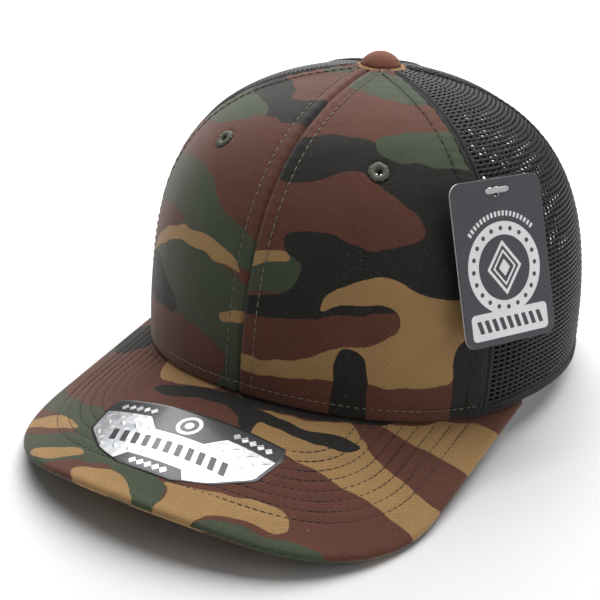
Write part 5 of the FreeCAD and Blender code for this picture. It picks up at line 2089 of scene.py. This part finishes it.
@dataclass
class Visor:
    """Board between two printed covers, with rows of stitches that follow its edge."""

    cloth: Material
    thread: Material
    cover: float = 0.7 * MM
    total: float = 3.4 * MM
    wrap: float = 0.6 * MM
    columns: int = 380
    rows: int = 84
    stitch_rows: int = 8
    row_pitch: float = 4.2 * MM
    first_side: float = 9.6 * MM
    first_front: float = 13.7 * MM

    def build(self) -> None:
        """Build both covers and the stitching through them."""
        for name, top in (("top", True), ("under", False)):
            self.cover_piece(name, top)
            self.stitching(name, top)
        dress_node("visor_board", Moulded("board_plastic", srgb(122, 120, 115), 0.6).make())

    def plan(self) -> tuple[Array, Array]:
        """Plan grid from the outer edge in to the rim, and its insets beside the edge.

        Returns:
            Plan positions, rows by columns by two, and the inset of each row from the edge, large past it.
        """
        near = np.array([0.0, 0.05, 0.16, 0.36, 0.65, 1.05, 1.6, 2.3]) * MM - self.wrap
        rings = [resample(FORM.visor_outline(inset), self.columns) for inset in near]
        corner = FORM.visor_corner
        rim = FORM.rim_plan(np.linspace(-corner, corner, 600), FORM.visor_tuck)
        rim = resample(rim, self.columns)
        share = np.linspace(0, 1, self.rows)[1:, None, None]
        inside = rings[-1] + (rim - rings[-1]) * share
        insets = np.concatenate([near, near[-1] + np.arange(1, self.rows) * MM])
        return np.concatenate([np.stack(rings), inside]), insets

    def stitch_lines(self) -> list[Array]:
        """Plan lines of the stitch rows, each cut off where it meets the crown.

        Returns:
            One line for each row.
        """
        lines = []
        for row in range(self.stitch_rows):
            side = self.first_side + row * self.row_pitch
            front = self.first_front + row * self.row_pitch
            line = resample(FORM.visor_outline(side, front), 700)
            angle = np.arctan2(line[:, 0], -line[:, 1])
            rim = FORM.rim_plan(angle, -0.8 * MM)
            clear = np.hypot(line[:, 0], line[:, 1]) > np.hypot(rim[:, 0], rim[:, 1])
            lines.append(line[clear])
        return lines

    def dimples(self, plan: Array) -> Array:
        """Depth of the grooves that the stitch rows pull into the cloth.

        Args:
            plan: Positions x and y.

        Returns:
            One depth for each position.
        """
        flat = plan.reshape(-1, 2)
        depth = np.zeros(len(flat))
        for line in self.stitch_lines():
            for start in range(0, len(flat), 4000):
                chunk = flat[start : start + 4000]
                away = np.linalg.norm(chunk[:, None, :] - line[None, ::2, :], axis=-1).min(axis=1)
                depth[start : start + 4000] += bump(away, 0.8 * MM)
        return (depth * 0.22 * MM).reshape(plan.shape[:-1])

    def cover_piece(self, name: str, top: bool) -> None:
        """One cover: its face rolls over the edge and meets the other cover half way down.

        Args:
            name: top or under.
            top: True for the top cover.
        """
        plan, insets = self.plan()
        radius = self.total / 2
        dip = np.clip(radius - self.wrap - insets, 0, radius)
        roll = (radius - np.sqrt(radius**2 - dip**2))[:, None]
        x, y = plan[..., 0] / MM, plan[..., 1] / MM
        body = np.clip((insets - radius) / (6 * MM), 0, 1)[:, None]
        slack = 0.13 * MM * waves(x, y, 30.0, 100 + top) * body
        piping = 0.12 * MM * bump(insets - 2.6 * MM, 1.2 * MM)[:, None]
        if top:
            outer = roll + self.dimples(plan) - slack - piping
            inner = np.minimum(outer + self.cover, self.total / 2 + 0.02 * MM)
        else:
            outer = self.total - roll - self.dimples(plan) + slack + piping
            inner = np.maximum(outer - self.cover, self.total / 2 - 0.02 * MM)
        outer = np.broadcast_to(outer, x.shape)
        printed = VISOR_PRINT.fields(x, y) if top else VISOR_PRINT.fields(-x, y * 0.9 - 14.0)
        skin(
            f"visor_{name}_cloth",
            FORM.visor_point(plan, outer),
            FORM.visor_point(plan, inner),
            grid_quads(*x.shape),
            self.cloth,
            "camo_twill",
            np.stack([x, y], -1),
            printed,
            replaces=[f"visor_{name}_cover"],
            sharp=70.0,
        ).build()

    def stitching(self, name: str, top: bool) -> None:
        """Stitches of every row on one face.

        Args:
            name: top or under.
            top: True for the top cover.
        """
        parts = []
        for row, line in enumerate(self.stitch_lines()):
            depth = 0.12 * MM if top else self.total - 0.12 * MM
            normals = FORM.visor_normal(line) * (1 if top else -1)
            sewing = StitchRow(2.7 * MM, 0.9, 0.17 * MM, 0.08 * MM, seed=110 + row)
            parts.append(sewing.sew(FORM.visor_point(line, depth), normals))
        sewn(f"visor_{name}_stitching", parts, self.thread, "camo_twill")


def slanted_bars(x: Array, y: Array, pitch: float, lean: float, half: float, beside: int) -> Array:
    """Reach of a row of slanted bars: one in the middle and the same number to each side of it.

    Args:
        x: Place across, in millimetres.
        y: Place along, 0 on the middle of the row.
        pitch: Distance from bar to bar.
        lean: Shift across for a step along.
        half: Half width of a bar.
        beside: Number of bars on each side of the middle one.

    Returns:
        Distance inside the nearest edge, negative outside.
    """
    place = (x + lean * y) / pitch
    number = np.round(place)
    return np.where(np.abs(number) <= beside, half - np.abs(place - number) * pitch, half - pitch / 2)


@dataclass
class Sticker:
    """Foil badge on the visor: a tread-plate field between two dark bands, with nothing written on it."""

    foil: Material
    centre: tuple[float, float] = (-4.8, -128.0)
    outline: tuple = ((17.0, 36.0), (12.2, 38.0), (-1.7, 36.0), (-12.2, 23.8), (-17.0, 11.0))
    corner_ease: float = 1.1
    tread_pitch: float = 4.4

    def half_width(self, y: Array) -> Array:
        """Half width at a height on the badge, in millimetres, its corners eased.

        Args:
            y: Heights on the badge, in millimetres.

        Returns:
            Half widths.
        """
        heights = np.array([point[0] for point in self.outline])[::-1]
        widths = np.array([point[1] for point in self.outline])[::-1]
        total = np.zeros_like(y)
        for step in (-1, 0, 1):
            total = total + np.interp(y + step * self.corner_ease, heights, widths)
        trim = np.clip(1 - (17.0 - np.abs(y)) / 1.2, 0, 1) ** 2 * 1.1
        return total / 3 - trim

    def ink(self, x: Array, y: Array) -> Array:
        """Reach of the dark ink: border, rear band with its dip, front band and a row of slanted bars.

        Args:
            x: Place across, in millimetres.
            y: Place along, in millimetres.

        Returns:
            Distance inside the nearest edge, negative outside.
        """
        side = np.abs(x)
        border = 1.0 - (self.half_width(y) - side) * 0.85
        border = np.maximum(border, 0.9 - (17.0 - np.abs(y)))
        rear = y - (9.4 - 6.0 * np.clip((16.5 - side) / 6.0, 0, 1))
        front = -11.0 - y - 5.0 * np.clip((side - 11.5) / 4.0, 0, 1.4)
        bars = slanted_bars(x, y + 3.4, pitch=4.7, lean=0.35, half=1.25, beside=5)
        bars = np.minimum(bars, 3.0 - np.abs(y + 3.4))
        dark = np.max([border, rear, front, bars], axis=0)
        return np.minimum(dark, -self.pale_marks(x, y))

    @staticmethod
    def pale_marks(x: Array, y: Array) -> Array:
        """Reach of the plain pale marks on the dark bands: lozenges in rows, and a ring with a dot.

        Args:
            x: Place across, in millimetres.
            y: Place along, in millimetres.

        Returns:
            Distance inside the nearest edge, negative outside.
        """
        marks = []
        for first, count, height in ((-31.0, 5, 12.6), (18.4, 5, 12.6), (-7.2, 5, -14.0)):
            for step in range(count):
                along = np.abs(x - first - step * 3.3) * 0.8
                marks.append(1.25 - along - np.abs(y - height) * 0.75)
        emblem = np.hypot(x, y - 9.6)
        marks += [0.7 - np.abs(emblem - 4.2), 1.7 - emblem]
        return np.max(marks, axis=0)

    def tread(self, x: Array, y: Array) -> Array:
        """Height of the raised lozenges, 0 to 1, each turned across its neighbours.

        Args:
            x: Place across, in millimetres.
            y: Place along, in millimetres.

        Returns:
            One height for each place.
        """
        pitch = self.tread_pitch
        u, v = (x + y) / math.sqrt(2) / pitch, (x - y) / math.sqrt(2) / pitch
        column, row = np.floor(u), np.floor(v)
        a, b = u - column - 0.5, v - row - 0.5
        odd = (column + row) % 2 == 0
        long = np.where(odd, a, b)
        short = np.where(odd, b, a)
        lozenge = 1 - np.abs(long) / 0.46 - np.abs(short) / 0.15
        return np.clip(lozenge * 2.5, 0, 1)

    def build(self) -> None:
        """Build the badge on the visor's top cover."""
        y = np.unique(np.concatenate([np.linspace(-17, 17, 100), [-16.9, -16.6, 16.9, 16.6]]))
        x, y = np.meshgrid(np.linspace(-38, 38, 210), y)
        half = self.half_width(y)
        x = np.clip(x, -half, half)
        plan = np.stack([(self.centre[0] + x) * MM, (self.centre[1] + y) * MM], -1)
        ink, tread = self.ink(x, y), self.tread(x, y)
        # Raised lozenges are lifted in the mesh; the foil finish also paints them paler as a painted
        # highlight.
        raised = tread * np.clip(-ink / 0.6, 0, 1)
        to_edge = np.clip(np.minimum(half - np.abs(x), 17.0 - np.abs(y)) / 0.8, 0, 1)
        curl = 0.10 * MM * (1 - to_edge)
        lift = 0.30 * MM + 0.09 * MM * raised - curl + 0.05 * MM * waves(x, y, 26.0, 130)
        top = FORM.visor_point(plan, -lift).reshape(-1, 3)
        skin(
            "visor_sticker_foil",
            top,
            FORM.visor_point(plan, -0.05 * MM),
            filled(top, grid_quads(*x.shape)),
            self.foil,
            "sticker_foil",
            np.stack([x, y], -1),
            {"ink": ink, "tread": raised},
            replaces=["visor_sticker"],
        ).build()


# ---------------------------------------------------------------- button, straps and tag


@dataclass
class Button:
    """Cloth-covered button at the apex, with the folded tips of the panels showing under it."""

    cloth: Material
    tips: Material
    metal: Material
    radius: float = 8.2 * MM
    rise: float = 4.9 * MM
    skirt: float = 0.38 * MM

    def build(self) -> None:
        """Build the covered shell and the tips, and dress the metal parts."""
        base = np.array([0.0, FORM.apex_y, FORM.height])
        turn = np.linspace(0, math.tau, 96, endpoint=False)
        share = np.linspace(0.004, 1, 26)
        turn, share = np.meshgrid(turn, share)
        total = self.rise + self.skirt
        ball = (self.radius**2 + total**2) / (2 * total)
        swing = math.asin(self.radius / ball)
        gather = 0.09 * MM * np.sin(turn * 21) * share**7
        gather += 0.05 * MM * waves(turn * 8, share * 8, 6.0, 140) * share
        reach = ball * np.sin(swing * share) + gather
        height = self.rise - ball * (1 - np.cos(swing * share))
        lip = np.clip((share - 0.9) / 0.1, 0, 1)
        reach = reach - 0.25 * MM * lip**2
        outer = np.stack([reach * np.cos(turn), reach * np.sin(turn), height], -1)
        inner = outer * np.array([0.9, 0.9, 1.0]) - np.array([0, 0, 0.7 * MM])
        quads = grid_quads(*turn.shape, ring=True)
        shell = skin(
            "button_covered_shell", outer + base, inner + base, quads, self.cloth, "button_cloth",
            outer[..., :2] / MM, replaces=["button_shell"],
        )
        shell.faces = np.concatenate([shell.faces, self.apex_faces(turn.shape)])
        shell.build()
        self.panel_tips()
        for node in ("button_core", "button_washer"):
            dress_node(node, self.metal)

    @staticmethod
    def apex_faces(shape: tuple[int, int]) -> Array:
        """Faces that close the small round hole at the apex, outside and inside.

        Args:
            shape: Rows and columns of the shell's grid.

        Returns:
            Corner indices, four to a face.
        """
        columns = shape[1]
        start = np.arange(1, columns - 2, 2)
        outer = np.stack([np.zeros_like(start), start, start + 1, start + 2], -1)
        inner = outer[:, ::-1] + shape[0] * columns
        return np.concatenate([outer, inner])

    def panel_tips(self) -> None:
        """Raw tips of the panels, gathered in a low ring round the button's foot."""
        turn, share = np.meshgrid(np.linspace(-math.pi, math.pi, 121), np.linspace(0, 1, 9))
        spread = 1 + 0.06 * np.abs(np.sin(turn * 2.5))
        reach = (6.0 + 3.6 * share) * MM * spread
        rise = np.clip(self.rise_for(turn, reach), 0, 0.999)
        lift = (0.5 - 0.42 * share**2) * MM + 0.12 * MM * waves(turn * 9, share * 3, 5.0, 150)
        crown_strip("panel_tips_ring", turn, rise, -lift, 0.4 * MM, self.tips, "camo_twill").build()

    @staticmethod
    def rise_for(angle: Array, reach: Array) -> Array:
        """Rise where the crown has a given distance from its axis.

        Args:
            angle: Angles from the front towards the wearer's left, in radians.
            reach: Distances from the crown's axis.

        Returns:
            Shares of the meridian.
        """
        low, high = np.full_like(reach, 0.7), np.full_like(reach, 0.9999)
        for _ in range(26):
            middle = (low + high) / 2
            wide = FORM.spoke(angle, middle) > reach
            low, high = np.where(wide, middle, low), np.where(wide, high, middle)
        return low


@dataclass
class SnapStrap:
    """Peg strap and hole strap; the hole strap bends at the line where it is peeled off the pegs."""

    plastic: Material
    bend_x: float = 20.0 * MM
    bend_reach: float = 3.2 * MM
    edge_round: float = 0.28 * MM

    def build(self) -> None:
        """Dress the peg strap and join the two halves of the hole strap into one bending strip."""
        self.soften(dress_node("peg_strap", self.plastic))
        work = bmesh.new()
        for node in ("strap_root", "strap_flap"):
            work.from_mesh(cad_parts[node].data)
        bmesh.ops.remove_doubles(work, verts=work.verts, dist=0.02 * MM)
        seam = [face for face in work.faces if all(abs(v.co.x - self.bend_x) < 0.05 * MM for v in face.verts)]
        bmesh.ops.delete(work, geom=seam, context="FACES")
        bmesh.ops.remove_doubles(work, verts=work.verts, dist=0.02 * MM)
        bmesh.ops.dissolve_limit(work, angle_limit=math.radians(1.0), verts=work.verts, edges=work.edges)
        for step in np.linspace(-self.bend_reach, self.bend_reach, 13):
            geometry = [*work.verts, *work.edges, *work.faces]
            at = (self.bend_x + float(step), 0.0, 0.0)
            bmesh.ops.bisect_plane(work, geom=geometry, plane_co=at, plane_no=(1, 0, 0), dist=1e-6)
        bmesh.ops.triangulate(work, faces=[face for face in work.faces if len(face.verts) > 4])
        mesh = bpy.data.meshes.new("strap_with_holes")
        work.to_mesh(mesh)
        work.free()
        mesh.materials.append(self.plastic)
        strap = bpy.data.objects.new("strap_with_holes", mesh)
        bpy.context.scene.collection.objects.link(strap)
        outward(mesh)
        self.soften(strap)
        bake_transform(strap)
        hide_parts("strap_root", "strap_flap")
        log.info("strap_with_holes: %d faces", len(mesh.polygons))

    def soften(self, item: bpy.types.Object) -> None:
        """Round the sharp edges of a moulded strap.

        Args:
            item: The strap.
        """
        bevel = item.modifiers.new("RoundedEdges", "BEVEL")
        bevel.width = self.edge_round
        bevel.segments = 2
        bevel.limit_method = "ANGLE"
        bevel.angle_limit = math.radians(50)
        bevel.use_clamp_overlap = True


@dataclass
class HangTag:
    """Printed card on a nylon fastener, with plain shapes in place of a mark."""

    card: Material
    back: Material
    edge: Material
    nylon: Material
    angle: float = math.radians(61.05)
    rise: float = 0.512
    azimuth: float = math.radians(-25.5)
    lean: float = math.radians(18.3)
    standoff: float = 5.6 * MM
    half_width: float = 20.8
    low: float = -54.55
    high: float = 4.15
    corner: float = 4.5
    leaf: float = 0.4 * MM
    ring_y: float = -27.7

    def axes(self) -> tuple[Array, Array, Array]:
        """Sideways, upward and outward directions in the head frame.

        Returns:
            The three directions.
        """
        flat = np.array([math.cos(self.azimuth), math.sin(self.azimuth), 0.0])
        outward_way = flat * math.cos(self.lean) + np.array([0.0, 0.0, math.sin(self.lean)])
        sideways = np.array([-math.sin(self.azimuth), math.cos(self.azimuth), 0.0])
        return sideways, np.cross(outward_way, sideways), outward_way

    def place(self, x: Array, y: Array, z: Array | float) -> Array:
        """Position in the row's frame of a place on the card.

        Args:
            x: Sideways, in millimetres.
            y: Up the card from the slot, in millimetres.
            z: Out of the card's middle plane, in metres.

        Returns:
            Positions.
        """
        sideways, upward, outward_way = self.axes()
        foot = FORM.surface(np.array(self.angle), np.array(self.rise)) + outward_way * self.standoff
        x, y, z = (np.asarray(part, float)[..., None] for part in np.broadcast_arrays(x, y, z))
        return FORM.stand(foot + sideways * x * MM + upward * y * MM + outward_way * z)

    def outline_half(self, y: Array) -> Array:
        """Half width of the rounded card at a height.

        Args:
            y: Heights on the card, in millimetres.

        Returns:
            Half widths.
        """
        past = np.maximum(y - (self.high - self.corner), (self.low + self.corner) - y)
        past = np.clip(past, 0, self.corner)
        return self.half_width - self.corner + np.sqrt(self.corner**2 - past**2)

    def ink(self, x: Array, y: Array) -> Array:
        """Reach of the pale ink: a dotted ring round nested lozenges, an arc of bars and a barred banner.

        Args:
            x: Place across, in millimetres.
            y: Place along, in millimetres.

        Returns:
            Distance inside the nearest edge, negative outside.
        """
        from_ring = np.hypot(x, y - self.ring_y)
        turn = np.arctan2(x, y - self.ring_y)
        ring = 2.4 - np.abs(from_ring - 14.1)
        spaced = self.spaced(turn, math.radians(18)) * 14.1
        ring = np.minimum(ring, np.hypot(spaced, from_ring - 14.1) - 0.85)
        diamond = np.abs(x) * 1.25 + np.abs(y - self.ring_y)
        motif = np.max([0.9 - np.abs(diamond - 9.0), 0.6 - np.abs(diamond - 6.0), 3.2 - diamond], axis=0)
        bars = 0.5 - np.abs(self.spaced(turn, math.radians(5.2)) * 19.4)
        arc = np.minimum(bars, 0.95 - np.abs(from_ring - 19.3))
        arc = np.minimum(arc, (math.radians(50) - np.abs(turn)) * 19.0)
        banner_x, banner_y = np.abs(x) - 15.7, np.abs(y + 47.4) - 3.0
        banner = 1.8 - np.hypot(np.maximum(banner_x, 0), np.maximum(banner_y, 0))
        strokes = slanted_bars(x, y + 47.4, pitch=3.4, lean=0.3, half=0.95, beside=4)
        strokes = np.minimum(strokes, 2.3 - np.abs(y + 47.4))
        banner = np.minimum(banner, -strokes)
        return np.max([ring, motif, arc, banner], axis=0)

    @staticmethod
    def spaced(turn: Array, step: float) -> Array:
        """Angle from the nearest of marks spaced evenly round a circle."""
        return turn - np.round(turn / step) * step

    def build(self) -> None:
        """Build the two leaves, the fastener's thread and its paddle."""
        self.leaf_piece("front", 1, self.card)
        self.leaf_piece("back", -1, self.back)
        self.fastener()

    def leaf_piece(self, name: str, side: int, material: Material) -> None:
        """One glued leaf with its T-shaped slot.

        Args:
            name: front or back.
            side: 1 for the front leaf and -1 for the back one.
            material: Its finish.
        """
        slots_x = np.array([-4.4, -1.0, 1.0, 4.4])
        slots_y = np.array([-2.2, -1.2, 1.2])
        x = np.unique(np.concatenate([np.linspace(-self.half_width, self.half_width, 112), slots_x]).round(4))
        bends = self.corner * (1 - np.cos(np.linspace(0, math.pi / 2, 14)))
        y = [np.linspace(self.low + self.corner, self.high - self.corner, 140), slots_y]
        y += [self.low + bends, self.high - bends]
        y = np.unique(np.concatenate(y).round(4))
        x, y = np.meshgrid(x, y)
        half = self.outline_half(y)
        x = np.clip(x, -half, half)
        quads = grid_quads(*x.shape)
        middle_x = x.ravel()[quads].mean(axis=1)
        middle_y = y.ravel()[quads].mean(axis=1)
        in_bar = (np.abs(middle_x) < 4.4) & (np.abs(middle_y) < 1.2)
        in_stem = (np.abs(middle_x) < 1.0) & (middle_y < -1.2) & (middle_y > -2.2)
        quads = quads[~(in_bar | in_stem)]
        to_edge = np.minimum(half - np.abs(x), np.minimum(self.high - y, y - self.low))
        crush = 0.12 * MM * bump(to_edge, 0.35)
        ripple = 0.05 * MM * waves(x, y, 36.0, 160)
        face_height = side * (self.leaf + 0.02 * MM - crush) + ripple
        top = self.place(x, y, face_height).reshape(-1, 3)
        under = self.place(x, y, side * 0.01 * MM + ripple).reshape(-1, 3)
        quads = filled(top, quads)
        points, faces, walls = thicken(top, under, quads)
        ink = self.ink(x, y) if side > 0 else np.full(x.shape, -5.0)
        uv = np.tile(np.stack([x, y], -1).reshape(-1, 2), (2, 1))
        Piece(
            f"hang_tag_{name}_leaf", points, faces, material, "tag_card", body="hang_tag",
            replaces=[f"hang_tag_{name}"], fields={"ink": np.tile(ink.ravel(), 2)}, uv=uv,
            walls=walls, wall_material=self.edge,
        ).build()

    def fastener(self) -> None:
        """Nylon cross bar and thread, and the paddle that holds the card."""
        behind = -(4.4 * MM + self.standoff)
        share = np.linspace(0, 1, 22)
        bar = self.place((share * 2 - 1) * 4.5, np.zeros(22), behind)
        ends = np.sqrt(np.clip(1 - np.abs(share * 2 - 1) ** 8, 0.02, 1))
        thread_z = behind + share * (4.4 * MM + self.standoff - 0.35 * MM)
        sway = np.sin(share * math.pi)
        thread = self.place(0.12 * sway, -0.15 * sway, thread_z)
        flare = 1 + 0.5 * bump(share - 1, 0.08) + 0.4 * bump(share, 0.05)
        sideways, upward, outward_way = (FORM.turn(way) for way in self.axes())
        parts = []
        for centres, radii, side, lift in (
            (bar, 0.5 * MM * ends, upward, outward_way),
            (thread, 0.34 * MM * flare, sideways, upward),
        ):
            shape = (1, 22, 3)
            side, lift = np.broadcast_to(side, shape), np.broadcast_to(lift, shape)
            parts.append(tubes(centres[None], side, lift, radii[None], 12))
        points, faces = joined(parts)
        Piece(
            "tag_fastener_thread", points, faces, self.nylon, "nylon", body="tag_fastener",
            replaces=["tag_fastener"],
        ).build()
        half, tall, thick = 5.4, 1.0, 0.25
        y, x = np.meshgrid(np.linspace(-1, 1, 13), np.linspace(-1, 1, 41), indexing="ij")
        oval = np.sqrt(np.clip(1 - np.abs(x) ** 6, 0, 1))
        body = 0.35 + 0.65 * np.sqrt(np.clip((1 - y**6) * (1 - np.abs(x) ** 12), 0, 1))
        middle = self.leaf + 0.06 * MM + thick * MM
        dent = 0.1 * bump(np.hypot(x * half, y * tall), 0.5)
        top = self.place(x * half, y * tall * (0.3 + 0.7 * oval), middle + (body - dent) * thick * MM)
        under = self.place(x * half, y * tall * (0.3 + 0.7 * oval), middle - body * thick * MM)
        points, faces, _ = thicken(top.reshape(-1, 3), under.reshape(-1, 3), grid_quads(*x.shape))
        Piece(
            "tag_paddle_nylon", points, faces, self.nylon, "nylon", body="hang_tag", replaces=["tag_paddle"],
        ).build()


# ---------------------------------------------------------------- studio


@dataclass
class Studio:
    """Plain pale floor, soft lights and the camera."""

    lens: float = 83.57
    at: tuple[float, float, float] = (0.25204, -0.45637, 0.28291)
    right: tuple[float, float, float] = (0.84893, 0.52849, 0.00050)
    up: tuple[float, float, float] = (-0.23471, 0.37618, 0.89633)
    back: tuple[float, float, float] = (0.47351, -0.76104, 0.44339)

    def build(self) -> None:
        """Build floor, lights, world and camera."""
        self.floor()
        self.light("top_softbox", (-0.15, 0.5, 1.05), 1.5, 27.0)
        self.light("key_softbox", (-0.5, -0.75, 0.85), 0.7, 0.3)
        self.light("fill_softbox", (0.95, -0.05, 0.5), 0.7, 1.5)
        self.light("rim_softbox", (-0.55, 0.75, 0.5), 0.6, 3.0)
        self.world()
        bpy.context.scene.view_settings.view_transform = "Standard"
        self.camera()

    @staticmethod
    def world() -> None:
        """Surroundings that look white and give off little light."""
        world = bpy.data.worlds.new("studio_white")
        world.use_nodes = True
        graph = Graph(world.node_tree)
        sky = world.node_tree.nodes["Background"]
        sky.inputs["Color"].default_value = (1.0, 1.0, 1.0, 1.0)
        seen = graph.add("ShaderNodeLightPath").outputs["Is Camera Ray"]
        graph.put(sky.inputs["Strength"], graph.math("MAXIMUM", seen, 0.08))
        bpy.context.scene.world = world

    def floor(self) -> None:
        """Pale floor, large enough to fill every view."""
        half = 6.0
        mesh = bpy.data.meshes.new("floor")
        corners = [(-half, -half, 0), (half, -half, 0), (half, half, 0), (-half, half, 0)]
        mesh.from_pydata(corners, [], [(0, 1, 2, 3)])
        item = bpy.data.objects.new("floor", mesh)
        bpy.context.scene.collection.objects.link(item)
        finish = Finish("pale_floor")
        faint = finish.graph.noise(finish.graph.object_place(), 3.0)
        colour = finish.graph.mix(faint, (0.88, 0.88, 0.88, 1), (0.92, 0.92, 0.92, 1))
        finish.graph.put(finish.shader.inputs["Base Color"], colour)
        finish.shader.inputs["Roughness"].default_value = 0.9
        mesh.materials.append(finish.material)

    def light(self, name: str, place: tuple[float, float, float], side: float, power: float) -> None:
        """Square soft light aimed at the cap.

        Args:
            name: Name of the light.
            place: Its position.
            side: Side of its square, in metres.
            power: Its power in watts.
        """
        lamp = bpy.data.lights.new(name, "AREA")
        lamp.shape = "SQUARE"
        lamp.size = side
        lamp.energy = power
        item = bpy.data.objects.new(name, lamp)
        item.location = place
        aim = Vector((0.0, -0.03, 0.06)) - item.location
        item.rotation_euler = aim.to_track_quat("-Z", "Y").to_euler()
        bpy.context.scene.collection.objects.link(item)

    def camera(self) -> None:
        """Camera a little above the visor, from the wearer's left."""
        view = bpy.data.cameras.new("camera")
        view.lens = self.lens
        view.sensor_width = 36.0
        view.clip_start = 0.01
        item = bpy.data.objects.new("camera", view)
        turn = Matrix((self.right, self.up, self.back)).transposed().to_4x4()
        item.matrix_world = Matrix.Translation(self.at) @ turn
        bpy.context.scene.collection.objects.link(item)
        bpy.context.scene.camera = item


# ---------------------------------------------------------------- assembly


def main() -> None:
    """Build the cap and its studio."""
    logging.basicConfig(level=logging.INFO, format="%(name)s: %(message)s")
    Studio().build()
    camo = CamoTwill().make()
    dark_thread = Thread("dark_thread", srgb(44, 34, 32)).make()
    pale_thread = Thread("pale_thread", srgb(118, 116, 100)).make()
    black_thread = Thread("black_thread", srgb(38, 38, 40)).make()
    ring_thread = Thread("ring_thread", srgb(98, 102, 86)).make()
    tape = WovenTape("black_tape", srgb(30, 30, 31)).make()
    gauze = WovenTape("stiff_gauze", srgb(42, 42, 42), 1.1).make()
    FrontPanels(camo, gauze, pale_thread, dark_thread, ring_thread).build()
    NetPanels(NetYarn().make(), tape, black_thread).build()
    band = PlainTwill("band_twill", srgb(34, 34, 36), 0.8, 0.3, 0.15).make()
    label = WovenTape("label_satin", srgb(214, 213, 208), 0.4, 0.4).make()
    Trim(tape, band, WovenTape("edging_tape", srgb(28, 28, 29), 0.6).make(), label, black_thread).build()
    Visor(camo, dark_thread).build()
    Sticker(Foil().make()).build()
    button_cloth = PlainTwill("button_twill", srgb(122, 76, 60), 0.8, 0.3, 0.1).make()
    tip_cloth = PlainTwill("tip_twill", srgb(158, 122, 86), 0.8, 0.3, 0.1).make()
    Button(button_cloth, tip_cloth, Moulded("plated_steel", srgb(176, 176, 178), 0.35, 1.0).make()).build()
    SnapStrap(Moulded("strap_plastic", srgb(27, 27, 28), 0.42).make()).build()
    card_edge = Card("card_edge", srgb(226, 225, 228), srgb(226, 225, 228)).make()
    nylon = Moulded("clear_nylon", srgb(228, 230, 232), 0.3, clear=0.35).make()
    HangTag(Card("card_front").make(), Card("card_back").make(), card_edge, nylon).build()


if __name__ == "__main__":
    main()
